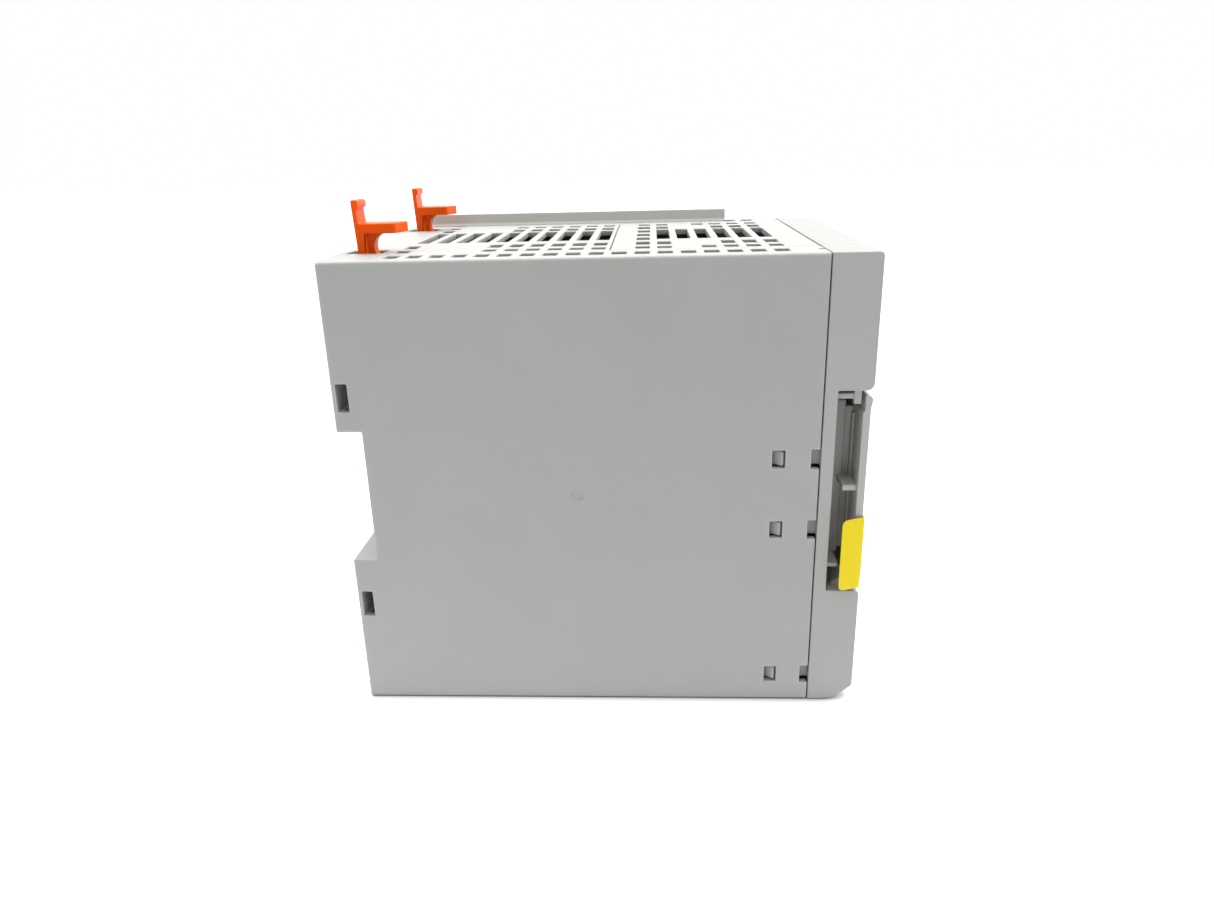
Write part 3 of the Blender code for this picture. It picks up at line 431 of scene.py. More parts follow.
class Piece:
    """A piece under construction: closed solids in millimetres, each with its own material.

    It takes its body from the CAD node that it stands for, or from the arguments. Its slot, from the node
    or the slot argument, is kept but not used.
    """

    def __init__(self, name, *replaced, body="housing", slot=None):
        self.name = name
        self.replaced = replaced
        self.slot = slot or SLOT_OF[replaced[0]]
        self.body = BODY_OF[replaced[0]] if replaced else body
        self.shape = bmesh.new()
        self.paints = []

    def add(self, solid, paint, matrix=Matrix()):
        """Joins one solid to the piece."""
        if paint not in self.paints:
            self.paints.append(paint)
        for face in solid.faces:
            face.material_index = self.paints.index(paint)
        bmesh.ops.recalc_face_normals(solid, faces=solid.faces)
        solid.transform(matrix)
        solid.to_mesh(SCRATCH)
        solid.free()
        self.shape.from_mesh(SCRATCH)

    def block(self, paint, low, high, rounding=0.0, matrix=Matrix()):
        """A box between two corners, with rounded edges if asked."""
        low, high = Vector(low), Vector(high)
        solid = bmesh.new()
        spot = Matrix.LocRotScale((low + high) / 2, None, high - low)
        bmesh.ops.create_cube(solid, size=1.0, matrix=spot)
        if rounding:
            bmesh.ops.bevel(
                solid, geom=solid.edges[:], offset=rounding, segments=2, profile=0.5, affect="EDGES"
            )
        self.add(solid, paint, matrix)

    def turned(self, paint, profile, matrix=Matrix(), steps=28):
        """A turned solid: profile lists (radius, height) from one end to the other."""
        solid = bmesh.new()
        rings = []
        for radius, height in profile:
            angles = [2 * math.pi * step / steps for step in range(steps if radius else 1)]
            places = [(radius * math.cos(turn), radius * math.sin(turn), height) for turn in angles]
            rings.append([solid.verts.new(place) for place in places])
        for ring in (rings[0], rings[-1]):
            if len(ring) > 1:
                solid.faces.new(ring)
        for lower, upper in zip(rings, rings[1:]):
            for step in range(steps):
                after = (step + 1) % steps
                corners = [lower[step % len(lower)], lower[after % len(lower)]]
                corners += [upper[after % len(upper)], upper[step % len(upper)]]
                solid.faces.new(dict.fromkeys(corners))
        self.add(solid, paint, matrix)

    def wire(self, paint, points, radius):
        """A round wire along a list of points."""
        curve = bpy.data.curves.new("wire", "CURVE")
        curve.dimensions = "3D"
        curve.bevel_depth = radius
        curve.bevel_resolution = 2
        curve.use_fill_caps = True
        line = curve.splines.new("POLY")
        line.points.add(len(points) - 1)
        for point, place in zip(line.points, points):
            point.co = (*place, 1)
        guide = bpy.data.objects.new("wire", curve)
        bpy.context.scene.collection.objects.link(guide)
        graph = bpy.context.evaluated_depsgraph_get()
        mesh = bpy.data.meshes.new_from_object(guide.evaluated_get(graph))
        bpy.data.objects.remove(guide)
        solid = bmesh.new()
        solid.from_mesh(mesh)
        bmesh.ops.remove_doubles(solid, verts=solid.verts, dist=0.0001)
        self.add(solid, paint)

    def done(self):
        """Makes the piece's mesh and puts it in the scene."""
        mesh = bpy.data.meshes.new(self.name)
        self.shape.transform(Matrix.Scale(MM, 4))
        self.shape.to_mesh(mesh)
        self.shape.free()
        for paint in self.paints:
            mesh.materials.append(paint)
        mesh.shade_smooth()
        mesh.set_sharp_from_angle(angle=CRISP_FROM)
        register(bpy.data.objects.new(self.name, mesh), self.body, self.replaced)


# ---------------------------------------------------------------- shells and latches
moulding("main_housing", 0.25, thinnest=2.4)
moulding("top_hatch", 0.12, thinnest=4.0)
moulding("marker_strip", 0.25, paint=STRIP)
moulding("front_cover", 0.25, thinnest=1.0)
moulding("front_door", 0.2, thinnest=1.0)
moulding("pull_tab", 0.08)
moulding("rail_latch_left", 0.3, 3)
moulding("rail_latch_right", 0.3, 3)
for plain in ("latch_spring_left", "latch_spring_right", "ground_contact"):
    moulding(plain, 0.06, 1)


def hinge_rod():
    """Steel rod with chamfered ends."""
    low, high = span("door_hinge_rod")
    radius = (high.z - low.z) / 2
    chamfer = 0.15
    length = high.x - low.x
    profile = [
        (radius - chamfer, 0),
        (radius, chamfer),
        (radius, length - chamfer),
        (radius - chamfer, length),
    ]
    centre = middle_of("door_hinge_rod")
    rod = Piece("hinge_rod", "door_hinge_rod")
    rod.turned(SPRING, profile, facing((1, 0, 0), (low.x, centre.y, centre.z)), 24)
    rod.done()


hinge_rod()


def gate_mark():
    """Low ring left by the mould's gate near the middle of the left wall, rooted in the wall."""
    wall = span("main_housing")[0].x
    ring = Piece("gate_mark", slot="housing_plastic")
    profile = [(0.95, -0.12), (1.0, 0), (1.3, 0.18), (1.6, 0), (1.65, -0.12)]
    ring.turned(COVER, profile, facing((-1, 0, 0), (wall, -54.1, 0.2)), 36)
    ring.done()


gate_mark()


# ---------------------------------------------------------------- what the boards carry
# Turns that point a shape's own Z axis out of an upright board's right or left face
OUT_OF = {
    "right": Matrix(((0, 0, 1), (1, 0, 0), (0, 1, 0))).to_4x4(),
    "left": Matrix(((0, 0, -1), (-1, 0, 0), (0, 1, 0))).to_4x4(),
}


def board_face(board, side):
    """A placement at the middle of a board's right or left face."""
    low, high = span(board)
    centre = middle_of(board)
    x = high.x if side == "right" else low.x
    return Matrix.Translation((x, centre.y, centre.z)) @ OUT_OF[side]


def footprint(node, place, margin):
    """The rectangle that a CAD node covers on a board's face, widened by a margin."""
    low, high = span(node)
    back = place.inverted()
    corners = [back @ low, back @ high]
    return (
        min(corner.x for corner in corners) - margin,
        max(corner.x for corner in corners) + margin,
        min(corner.y for corner in corners) - margin,
        max(corner.y for corner in corners) + margin,
    )


# A chip's bent lead as its shoulder, leg and foot: near and far reach, bottom and top
SMALL_LEAD = ((1.9, 2.6, 0.5, 0.7), (2.5, 2.7, 0, 0.7), (2.5, 3.1, 0, 0.15))
LARGE_LEAD = ((-0.1, 0.5, 0.75, 0.9), (0.36, 0.5, 0, 0.9), (0.4, 1.1, 0, 0.13))


def small_chip(piece, place):
    """Small chip with a row of four leads along each side."""
    piece.block(CHIP, (-2.4, -1.9, 0.15), (2.4, 1.9, 1.5), 0.15, place)
    lead_pitch = 1.27
    for row in (-1, 1):
        for step in range(4):
            left = -2.1 + step * lead_pitch
            right = -1.7 + step * lead_pitch
            for near, far, bottom, top in SMALL_LEAD:
                piece.block(SOLDER, (left, row * near, bottom), (right, row * far, top), 0, place)


def two_ended(piece, place, body, height):
    """Resistor or ceramic capacitor: a block with a tinned cap at each end."""
    piece.block(body, (-0.75, -0.6, 0.05), (0.75, 0.6, height), 0, place)
    for end in (-1, 1):
        near, far = sorted((end * 0.65, end * 1.05))
        piece.block(SOLDER, (near, -0.63, 0), (far, 0.63, height + 0.03), 0.05, place)


def surface_part(kind, piece, place):
    if kind == "chip":
        small_chip(piece, place)
    elif kind == "resistor":
        two_ended(piece, place, CHIP, 0.5)
    else:
        two_ended(piece, place, CERAMIC, 1.0)


def surface_parts(name, board, side, keep_clear, seed, pitch=4.6):
    """Small parts over a board's face, on a grid, away from the larger parts' footprints."""
    draw = random.Random(seed)
    place = board_face(board, side)
    edge_margin = 4.0
    clearance = 2.6
    left, right, low, high = footprint(board, place, -edge_margin)
    blocked = [footprint(node, place, clearance) for node in keep_clear]
    piece = Piece(name, slot="chip_epoxy")
    columns = int((right - left) / pitch)
    rows = int((high - low) / pitch)
    for column in range(columns):
        for row in range(rows):
            x = left + (column + 0.5) * pitch + draw.uniform(-0.5, 0.5)
            y = low + (row + 0.5) * pitch + draw.uniform(-0.5, 0.5)
            kind = draw.choice(("resistor", "resistor", "capacitor", "chip", "none", "none"))
            turn = draw.choice((0, 90))
            if kind == "none" or any(a < x < b and c < y < d for a, b, c, d in blocked):
                continue
            # Two chips never stand side by side
            if kind == "chip" and (column + row) % 2:
                kind = "capacitor"
            spot = Matrix.Translation((x, y, 0)) @ Matrix.Rotation(math.radians(turn), 4, "Z")
            surface_part(kind, piece, place @ spot)
    piece.done()


def leaded_chip(node, sides):
    """A chip package on the main board's right face, with bent leads along two or four sides."""
    low, high = span(node)
    centre = middle_of(node)
    board_x = span("main_board")[1].x
    place = Matrix.Translation((board_x, centre.y, centre.z)) @ OUT_OF["right"]
    lead_reach = 1.2
    lead_pitch = 0.8
    half_y = (high.y - low.y) / 2 - lead_reach
    half_z = (high.z - low.z) / 2 - (lead_reach if sides == 4 else 0)
    top = high.x - board_x
    piece = Piece(node + "_package", node)
    piece.block(CHIP, (-half_y, -half_z, 0.3), (half_y, half_z, top), 0.2, place)
    corner = place @ Matrix.Translation((-half_y + 1.4, half_z - 1.4, 0))
    corner_dot = [(0.5, top - 0.05), (0.5, top + 0.01)]
    piece.turned(SOLDER if sides == 2 else CERAMIC, corner_dot, corner, 16)
    for side in range(sides):
        quarter = side * 360 // sides
        turn = place @ Matrix.Rotation(math.radians(quarter), 4, "Z")
        reach, along = (half_y, half_z) if quarter % 180 == 0 else (half_z, half_y)
        count = int((2 * along - 1.2) / lead_pitch)
        for step in range(count + 1):
            y = (step - count / 2) * lead_pitch
            for near, far, bottom, height in LARGE_LEAD:
                low_corner = (reach + near, y - 0.18, bottom)
                piece.block(SOLDER, low_corner, (reach + far, y + 0.18, height), 0, turn)
    piece.done()


def processor_package():
    """Ball-grid package: green carrier, metal lid, and a thermal pad under the heat sink."""
    low, high = span("processor")
    carrier_top = low.x + 1.1
    lid_top = high.x - 0.4
    lid_inset = 2.2
    pad_inset = 4.0
    pad_low = (lid_top, low.y + pad_inset, low.z + pad_inset)
    pad_high = (high.x + 0.25, high.y - pad_inset, high.z - pad_inset)
    piece = Piece("processor_package", "processor")
    piece.block(BOARD, low, (carrier_top, high.y, high.z), 0.1)
    lid_low = (carrier_top, low.y + lid_inset, low.z + lid_inset)
    piece.block(SHIELD, lid_low, (lid_top, high.y - lid_inset, high.z - lid_inset), 0.3)
    piece.block(CERAMIC, pad_low, pad_high)
    balls = 14
    rim = 3
    edge = 1.0
    pitch = (high.y - low.y - 2 * edge) / (balls - 1)
    inner = range(rim, balls - rim)
    ball = [(0.3, -0.15), (0.38, 0), (0.3, 0.15)]
    for column in range(balls):
        for row in range(balls):
            if column in inner and row in inner:
                continue
            spot = (low.x - 0.15, low.y + edge + column * pitch, low.z + edge + row * pitch)
            piece.turned(SOLDER, ball, facing((1, 0, 0), spot), 8)
    piece.done()


def coin_cell():
    """Coin cell: a can with a rolled edge, and the smaller cap on its other side."""
    low, high = span("battery")
    centre = middle_of("battery")
    radius = (high.z - low.z) / 2
    thick = high.x - low.x
    profile = [
        (radius - 0.5, 0),
        (radius - 0.12, 0.12),
        (radius, 0.5),
        (radius, thick - 0.75),
        (radius - 0.3, thick - 0.35),
        (radius - 1.0, thick - 0.3),
        (radius - 1.25, thick - 0.05),
        (radius - 1.6, thick),
        (radius - 4.0, thick - 0.02),
    ]
    piece = Piece("coin_cell", "battery")
    piece.turned(CELL, profile, facing((-1, 0, 0), (high.x, centre.y, centre.z)), 48)
    piece.done()


def cell_clip():
    """Spring clip over the coin cell: a strap behind it, a bridge above, and a tongue in front."""
    centre = middle_of("battery")
    low, high = span("battery_holder")
    sheet = 0.3
    half_width = 3.5
    top = high.z - 2.2
    left, right = centre.y - half_width, centre.y + half_width
    clip = Piece("cell_clip", slot="spring_steel")
    for low_corner, high_corner in (
        ((low.x - sheet, left, centre.z + 3), (low.x, right, top)),
        ((low.x - sheet, left, top - sheet), (high.x, right, top)),
        ((low.x + 0.9, left + 1, centre.z + 2.4), (low.x + 1.2, right - 1, centre.z + 6)),
    ):
        clip.block(SPRING, low_corner, high_corner, 0.08)
    clip.done()


def card_details():
    """Blank label and finger ridges on the memory card."""
    low, high = span("memory_card")
    label = Piece("card_label", body="card", slot="switch_plastic")
    label_low = (high.x - 0.02, low.y + 5, low.z + 3)
    label.block(IVORY, label_low, (high.x + 0.05, high.y - 8, high.z - 3), 0.02)
    label.done()
    ridges = Piece("card_ridges", body="card", slot="connector_plastic")
    for number in range(3):
        start = low.y + 0.5 + number * 0.55
        ridge_low = (low.x - 0.12, start, low.z + 6)
        ridges.block(CONNECTOR, ridge_low, (low.x + 0.1, start + 0.25, high.z - 6), 0.05)
    ridges.done()


def link_header(node):
    """Two-part plug connector with two rows of pins."""
    low, high = span(node)
    centre = middle_of(node)
    split = low.y + 0.55 * (high.y - low.y)
    pitch = 2.0
    half_pin = 0.25
    piece = Piece(node + "_header", node)
    piece.block(CONNECTOR, low, (high.x, split - 0.2, high.z), 0.2)
    plug_low = (low.x + 0.4, split + 0.1, low.z + 0.5)
    piece.block(CONNECTOR, plug_low, (high.x - 0.4, high.y, high.z - 0.5), 0.2)
    count = int((high.z - low.z - pitch) / pitch)
    for step in range(count):
        z = centre.z + (step - (count - 1) / 2) * pitch
        for x in (centre.x - pitch / 2, centre.x + pitch / 2):
            pin_low = (x - half_pin, split - 1, z - half_pin)
            piece.block(GOLD, pin_low, (x + half_pin, high.y + 0.6, z + half_pin), 0.05)
    piece.done()


def supply_transformer():
    """Ferrite core around an upright winding that is wrapped in tape between two flanges."""
    low, high = span("transformer")
    back, front = high.y - 2.0, low.y + 2.0
    plate = 4.2
    piece = Piece("transformer_core", "transformer")
    for bottom in (low.z, high.z - plate):
        piece.block(FERRITE, (low.x + 4.5, front, bottom), (high.x, back, bottom + plate), 0.35)
    piece.block(FERRITE, (high.x - 3.2, front, low.z), (high.x, back, high.z), 0.35)
    radius = 11.0
    flange = 1.0
    axis = Matrix.Translation((low.x + radius, (low.y + high.y) / 2, 0))
    foot, head = low.z + plate + 0.2, high.z - plate - 0.2
    for z in (foot, head - flange):
        disc = [(radius - 0.2, z), (radius, z + 0.2), (radius, z + 0.8), (radius - 0.2, z + flange)]
        piece.turned(CONNECTOR, disc, axis, 40)
    turns = 22
    groove, crest = 9.5, 9.85
    start = foot + flange
    pitch = (head - foot - 2 * flange) / turns
    winding = []
    for turn in range(turns):
        base = start + turn * pitch
        winding += [(groove, base), (crest, base + pitch * 0.3), (crest, base + pitch * 0.7)]
    winding.append((groove, start + turns * pitch))
    piece.turned(COPPER, winding, axis, 40)
    under, over = 9.8, 10.15
    bottom, top = start + 3.0, head - 4.0
    tape = [(under, bottom), (over, bottom + 0.05), (over, top - 0.05), (under, top)]
    piece.turned(TAB, tape, axis, 40)
    piece.done()


def supply_choke():
    """Drum choke: copper turns between two ferrite flanges."""
    low, high = span("input_choke")
    centre = middle_of("input_choke")
    radius = (high.z - low.z) / 2
    length = high.x - low.x
    chamfer = 0.3
    flange = 2.3
    shoulder = radius - chamfer
    place = facing((1, 0, 0), (low.x, centre.y, centre.z))
    bore = [(0, 8.0), (3.0, 8.0), (3.0, chamfer), (3.0 + chamfer, 0)]
    rim = [(shoulder, 0), (radius, chamfer), (radius, flange - chamfer), (shoulder, flange)]
    far_rim = [(reach, length - height) for reach, height in reversed(rim)]
    piece = Piece("choke_drum", "input_choke")
    piece.turned(FERRITE, [*bore, *rim, (0, flange)], place, 36)
    piece.turned(FERRITE, [(0, length - flange), *far_rim, (0, length)], place, 36)
    turns = 11
    start = flange - 0.1
    pitch = (length - 2 * start) / turns
    winding = [(3.2, start)]
    for turn in range(turns):
        middle = start + (turn + 0.5) * pitch
        for step in range(5):
            angle = math.pi * step / 4
            bulge = pitch / 2 * math.sin(angle)
            winding.append((radius - 1.1 + bulge, middle - pitch / 2 * math.cos(angle)))
    winding.append((3.2, start + turns * pitch))
    piece.turned(COPPER, winding, place, 36)
    piece.done()


def supply_capacitor(node):
    """Can in a shrink sleeve, with a crimp groove at its foot, and its scored top drawn as dark lines of
    painted shade.
    """
    low, high = span(node)
    centre = middle_of(node)
    radius = (high.z - low.z) / 2
    length = high.x - low.x
    place = facing((-1, 0, 0), (high.x, centre.y, centre.z))
    piece = Piece(node + "_can", node)
    sleeve = [
        (radius - 1.2, 0),
        (radius - 0.2, 0.3),
        (radius, 0.8),
        (radius, 2.2),
        (radius - 0.5, 2.9),
        (radius, 3.6),
        (radius, length - 0.7),
        (radius - 0.25, length - 0.2),
        (radius - 0.9, length),
        (radius - 1.0, length - 0.3),
    ]
    piece.turned(SLEEVE, sleeve, place, 40)
    piece.turned(CELL, [(radius - 0.98, length - 0.6), (radius - 0.98, length - 0.1)], place, 40)
    # The score is drawn as dark strips just proud of the top: painted shade of its grooves
    score = radius - 1.6
    for angle in (45, 135):
        across = place @ Matrix.Rotation(math.radians(angle), 4, "Z")
        score_high = (score, 0.12, length - 0.085)
        piece.block(CHIP, (-score, -0.12, length - 0.12), score_high, 0, across)
    for x in (-1.2, 1.2):
        piece.turned(SOLDER, [(0.3, -0.9), (0.3, 0.4)], place @ Matrix.Translation((x, 0, 0)), 10)
    piece.done()


def glass_fuse():
    """Glass tube with a metal cap at each end and the wire inside, held by two clips."""
    low, high = span("fuse")
    centre = middle_of("fuse")
    radius = (high.x - low.x) / 2
    length = high.z - low.z
    cap = 5.0
    place = Matrix.Translation((centre.x, centre.y, low.z))
    piece = Piece("fuse_tube", "fuse")
    piece.turned(GLASS, [(radius - 0.25, 0.4), (radius - 0.25, length - 0.4)], place, 32)
    for start in (0, length - cap):
        profile = [(radius - 0.4, start), (radius, start + 0.3), (radius, start + cap - 0.3)]
        piece.turned(CELL, [*profile, (radius - 0.4, start + cap)], place, 32)
    ends = [(centre.x, centre.y, low.z + 2), (centre.x, centre.y, high.z - 2)]
    piece.wire(SOLDER, ends, 0.12)
    piece.done()
    sheet = 0.3
    width = 3.0
    foot = high.x + 1.2
    clips = Piece("fuse_clips", slot="spring_steel")
    for z in (low.z + 1.0, high.z - 1.0 - width):
        for side in (-1, 1):
            y = centre.y + side * (radius + sheet / 2)
            cheek_low = (centre.x - 1.6, y - sheet / 2, z)
            clips.block(SPRING, cheek_low, (foot, y + sheet / 2, z + width), 0.08)
        left, right = centre.y - radius - sheet, centre.y + radius + sheet
        clips.block(SPRING, (foot - sheet, left, z), (foot, right, z + width), 0.08)
    clips.done()


def board_screw(node):
    """Pan-head screw with thread ridges, and a cross recess whose shade is painted as dark bars."""
    low, high = span(node)
    centre = middle_of(node)
    head = 1.8
    radius = (high.x - low.x) / 2
    length = high.y - low.y
    place = facing((0, -1, 0), (centre.x, high.y, centre.z))
    thread_pitch = 0.5
    thread = []
    for turn in range(int((length - head) / thread_pitch)):
        start = head + turn * thread_pitch
        thread += [(1.0, start), (1.22, start + thread_pitch / 2)]
    profile = [
        (0, 0.55),
        (radius * 0.32, 0.5),
        (radius * 0.4, 0.06),
        (radius * 0.62, 0.1),
        (radius * 0.88, 0.5),
        (radius, 1.1),
        (radius, head),
        *thread,
        (0.8, length),
    ]
    piece = Piece(node + "_pan_head", node)
    piece.turned(SPRING, profile, place, 24)
    # Dark bars in the cross recess: painted shade of the recess
    for angle in (0, 90):
        cross = place @ Matrix.Rotation(math.radians(angle), 4, "Z")
        piece.block(CHIP, (-radius * 0.55, -0.22, 0.12), (radius * 0.55, 0.22, 0.5), 0.05, cross)
    piece.done()


def network_port(number):
    """Network socket with a dark liner, eight sprung contacts, and two light windows."""
    node = f"network_socket_{number}"
    moulding(node, 0.15)
    low, high = span(node)
    centre = middle_of(node)
    left, right = centre.x - 6.0, centre.x + 6.0
    floor_z, top = centre.z - 4.3, centre.z + 4.3
    comb = top - 0.9
    back = low.y + 11.7
    sheet = 0.3
    liner = Piece(f"network_liner_{number}", slot="connector_plastic")
    liner.block(CONNECTOR, (left, back - 0.4, floor_z), (right, back, top))
    for start in (left, right - sheet):
        liner.block(CONNECTOR, (start, low.y + 0.3, floor_z), (start + sheet, back, top), 0.05)
    liner.block(CONNECTOR, (left, low.y + 3.0, comb), (right, back, top), 0.1)
    liner.done()
    contacts = Piece(f"network_contacts_{number}", slot="coil_wire")
    contact_pitch = 1.02
    for step in range(8):
        x = centre.x + (step - 3.5) * contact_pitch
        root = Vector((x, low.y + 2.6, comb - 0.2))
        bend = root + Vector((0, 0.7, -0.15))
        tip = Vector((x, back - 0.6, comb - 3.4))
        contacts.wire(GOLD, [root, bend, tip], 0.22)
    contacts.done()
    windows = Piece(f"network_lights_{number}", slot="light_guide")
    for side, lamp in ((-1, LAMP_GREEN), (1, LAMP_AMBER)):
        x = centre.x + side * 5.4
        window_low = (x - 1.3, low.y - 0.08, high.z - 1.75)
        windows.block(lamp, window_low, (x + 1.3, low.y + 0.6, high.z - 0.55), 0.1)
    windows.done()


def supply_header():
    """Header shroud with tinned pins, and coding ribs between them."""
    moulding("power_header", 0.2)
    low = span("power_header")[0]
    centre = middle_of("power_header")
    pitch = 4.2
    half_pin = 0.53
    pins = Piece("header_pin_sleeves", slot="shield_steel")
    for step in (-1.5, -0.5, 0.5, 1.5):
        x = centre.x + pitch * step
        pin_low = (x - half_pin, low.y + 5.0, centre.z - half_pin)
        pins.block(SOLDER, pin_low, (x + half_pin, low.y + 10.3, centre.z + half_pin), 0.15)
    pins.done()
    ribs = Piece("header_ribs", slot="connector_plastic")
    for step in (-1.0, 0.0, 1.0):
        x = centre.x + pitch * step
        for side in (-1, 1):
            near, far = sorted((centre.z + side * 4.8, centre.z + side * 4.2))
            ribs.block(CONNECTOR, (x - 0.35, low.y + 0.6, near), (x + 0.35, low.y + 9.0, far), 0.08)
    ribs.done()


def serial_port():
    """Serial socket's shell and tongue, with four contacts of which the outer ones reach further."""
    moulding("usb_socket", 0.12)
    moulding("usb_tongue", 0.1)
    low, high = span("usb_tongue")
    pitch = 2.3
    contacts = Piece("usb_contacts", slot="coil_wire")
    for step, setback in zip((-1.5, -0.5, 0.5, 1.5), (0.8, 1.8, 1.8, 0.8)):
        x = (low.x + high.x) / 2 + pitch * step
        contact_low = (x - 0.5, low.y + setback, low.z - 0.06)
        contacts.block(GOLD, contact_low, (x + 0.5, high.y - 1, low.z + 0.1), 0.03)
    contacts.done()


def slide_lever():
    """Lever of the mode switch, with ridges across its front."""
    low, high = span("mode_switch_lever")
    lever = Piece("slide_lever", "mode_switch_lever")
    lever.block(IVORY, low + Vector((0, 0.35, 0)), high, 0.2)
    ridges = 5
    pitch = (high.z - low.z) / ridges
    for number in range(ridges):
        z = low.z + (number + 0.5) * pitch
        ridge_low = (low.x + 0.1, low.y, z - 0.22)
        lever.block(IVORY, ridge_low, (high.x - 0.1, low.y + 0.6, z + 0.22), 0.08)
    lever.done()


def reset_cap():
    """Push button's cap, hollowed in front and with a collar at its foot."""
    low, high = span("reset_button")
    centre = middle_of("reset_button")
    length = high.y - low.y
    profile = [
        (0, length - 0.25),
        (1.1, length - 0.22),
        (1.6, length - 0.02),
        (1.8, length),
        (2.0, length - 0.2),
        (2.0, 0.8),
        (2.7, 0.75),
        (2.8, 0.65),
        (2.8, 0.1),
        (2.7, 0),
        (0, 0),
    ]
    cap = Piece("reset_cap", "reset_button")
    cap.turned(IVORY, profile, facing((0, -1, 0), (centre.x, high.y, centre.z)), 32)
    cap.done()


CHIPS = ("memory_chip_1", "memory_chip_2", "network_chip")
CAPACITORS = ("capacitor_1", "capacitor_2", "capacitor_3")

for board in ("main_board", "power_board", "front_board"):
    moulding(board, 0.08, 1)
surface_parts(
    "main_board_parts",
    "main_board",
    "right",
    (*CHIPS, "processor", "heat_sink", "card_socket", "board_link_main"),
    11,
)
surface_parts("main_board_back_parts", "main_board", "left", ("battery_holder",), 12, 6.0)
surface_parts("power_board_back_parts", "power_board", "right", (), 13, 6.5)
surface_parts(
    "power_board_parts",
    "power_board",
    "left",
    (*CAPACITORS, "transformer", "input_choke", "fuse", "board_link_power"),
    14,
    6.0,
)
moulding("heat_sink", 0.15)
processor_package()
for chip, lead_sides in zip(CHIPS, (2, 2, 4)):
    leaded_chip(chip, lead_sides)
moulding("battery_holder", 0.3)
coin_cell()
cell_clip()
moulding("card_socket", 0.12)
moulding("memory_card", 0.25)
card_details()
link_header("board_link_main")
link_header("board_link_power")
supply_transformer()
supply_choke()
for number, capacitor in enumerate(CAPACITORS, 1):
    supply_capacitor(capacitor)
    network_port(number)
glass_fuse()
for number in (1, 2, 3, 4):
    board_screw(f"board_screw_{number}")
supply_header()
serial_port()
moulding("light_pipe", 0.15)
moulding("mode_switch_body", 0.12)
moulding("reset_switch_body", 0.12)
slide_lever()
reset_cap()


# ---------------------------------------------------------------- surroundings
SKY_FILL = 0.1
# Each soft light of the sky: direction, the cosines at its rim and at its full strength, strength
SKY_LIGHTS = (
    ((0.2, 0, 0.98), 0.55, 0.9, 4.1),
    ((0.25, -0.95, 0.3), 0.75, 0.95, 3.2),
    ((-1, 0, 0.12), 0.6, 0.95, 0.7),
    ((1, 0, 0.15), 0.4, 0.8, 1.1),
)
# The floor's painted glow, a pool of painted light brightest beside the module and fainter far from it,
# and the distances between which it falls
FLOOR_PAINTED_GLOW = (1.4, 0.7)
FLOOR_PAINTED_GLOW_FALL = (0.05, 0.32)
FLOOR_TINT = (0.97, 1.0, 1.01, 1)
# How close to the floor a surface has to be for the floor's painted contact shadow to darken it
PAINTED_SHADOW_REACH = 0.004
LENS = 26.17
CAMERA_PLACE = (-0.2580, -0.0733, 0.0846)
CAMERA_TURN = (70.565, 1.410, -87.308)


def floor():
    """Pale floor that glows like a light table, with painted light brightest beside the module and a
    painted contact shadow where the base touches it.
    """
    bpy.ops.mesh.primitive_plane_add(size=8.0, location=(0, 0, cad_low.z - 0.0002))
    plane = bpy.context.object
    plane.name = "floor"
    paint = Paint("floor_sheet", 0.7)
    paint.colour(paint.mottle(rgb(150, 151, 153), 0.01, 3))
    # Painted light: the glow is strongest beside the module and fades with distance from it
    distance = paint.node("ShaderNodeVectorMath", Vector=paint.place)
    distance.operation = "LENGTH"
    glow = paint.remap(distance.outputs["Value"], *FLOOR_PAINTED_GLOW_FALL, *FLOOR_PAINTED_GLOW)
    # Painted contact shadow: ambient occlusion dims the glow where the base touches the floor
    contact = paint.node("ShaderNodeAmbientOcclusion", Distance=PAINTED_SHADOW_REACH)
    open_share = paint.math("POWER", contact.outputs["AO"], 2.0)
    paint.feed(paint.shader.inputs["Emission Strength"], paint.math("MULTIPLY", glow, open_share))
    paint.shader.inputs["Emission Color"].default_value = FLOOR_TINT
    plane.data.materials.append(paint.material)


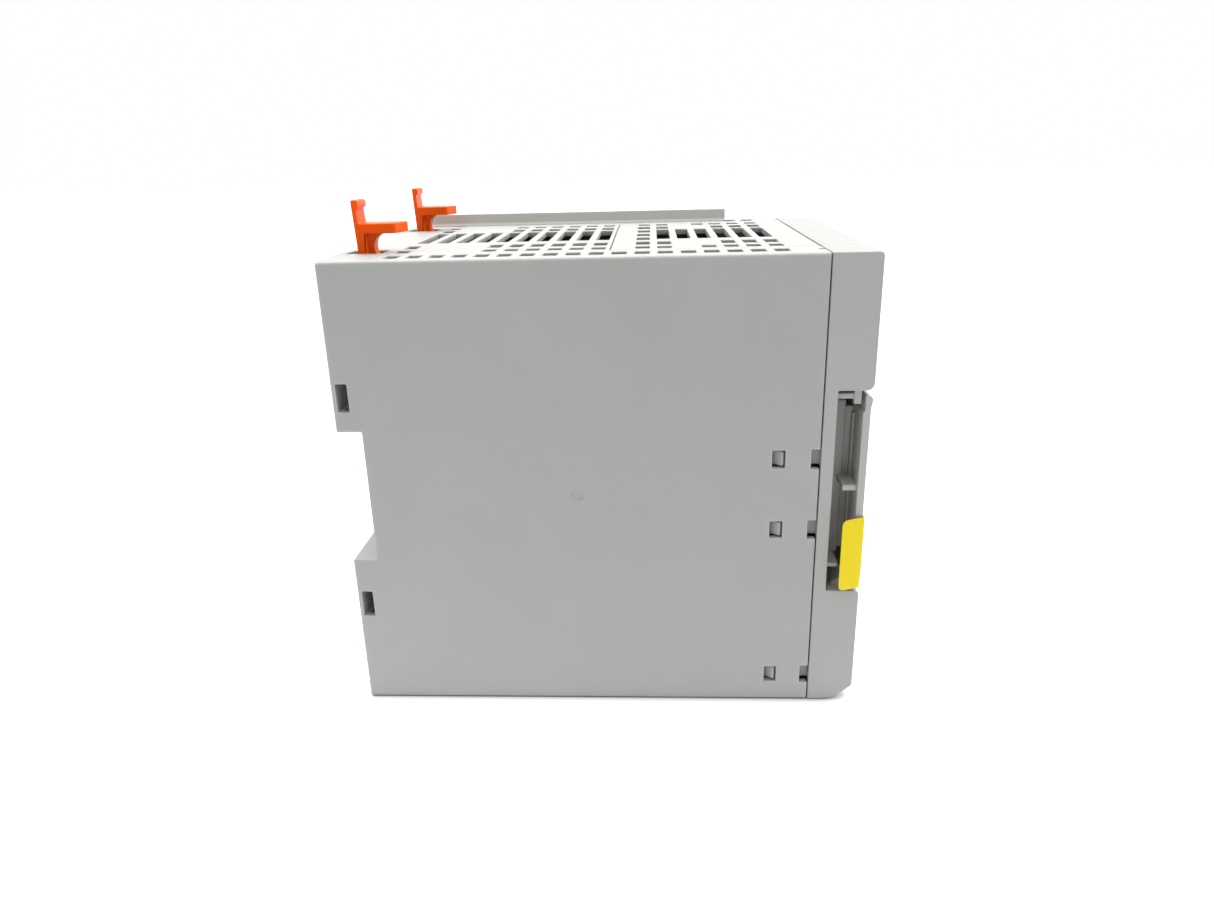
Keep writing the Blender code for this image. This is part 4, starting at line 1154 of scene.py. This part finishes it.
def sky():
    """White to the camera; for light, dark on the camera's side with soft lights overhead and in front."""
    world = bpy.data.worlds.new("studio")
    bpy.context.scene.world = world
    world.use_nodes = True
    tree = world.node_tree
    seen = tree.nodes["Background"]
    seen.inputs["Color"].default_value = (1, 1, 1, 1)
    seen.inputs["Strength"].default_value = 1.0
    direction = tree.nodes.new("ShaderNodeTexCoord").outputs["Generated"]
    total = None
    for aim, rim, full, strength in SKY_LIGHTS:
        towards = tree.nodes.new("ShaderNodeVectorMath")
        towards.operation = "DOT_PRODUCT"
        tree.links.new(direction, towards.inputs[0])
        towards.inputs[1].default_value = Vector(aim).normalized()
        glow = tree.nodes.new("ShaderNodeMapRange")
        glow.inputs["From Min"].default_value = rim
        glow.inputs["From Max"].default_value = full
        glow.inputs["To Max"].default_value = strength
        tree.links.new(towards.outputs["Value"], glow.inputs["Value"])
        added = tree.nodes.new("ShaderNodeMath")
        tree.links.new(glow.outputs["Result"], added.inputs[0])
        if total:
            tree.links.new(total, added.inputs[1])
        else:
            added.inputs[1].default_value = SKY_FILL
        total = added.outputs[0]
    lit = tree.nodes.new("ShaderNodeBackground")
    lit.inputs["Color"].default_value = (1.0, 0.995, 0.985, 1)
    tree.links.new(total, lit.inputs["Strength"])
    rays = tree.nodes.new("ShaderNodeLightPath")
    choice = tree.nodes.new("ShaderNodeMixShader")
    tree.links.new(rays.outputs["Is Camera Ray"], choice.inputs["Fac"])
    tree.links.new(lit.outputs["Background"], choice.inputs[1])
    tree.links.new(seen.outputs["Background"], choice.inputs[2])
    tree.links.new(choice.outputs["Shader"], tree.nodes["World Output"].inputs["Surface"])


def camera():
    """Wide camera that looks at the module's left side from a little above its top."""
    data = bpy.data.cameras.new("camera")
    data.lens = LENS
    data.sensor_width = 36.0
    data.clip_start = 0.01
    made = bpy.data.objects.new("camera", data)
    made.location = CAMERA_PLACE
    made.rotation_euler = [math.radians(angle) for angle in CAMERA_TURN]
    bpy.context.scene.collection.objects.link(made)
    bpy.context.scene.camera = made


floor()
sky()
camera()
bpy.context.scene.view_settings.view_transform = "Standard"
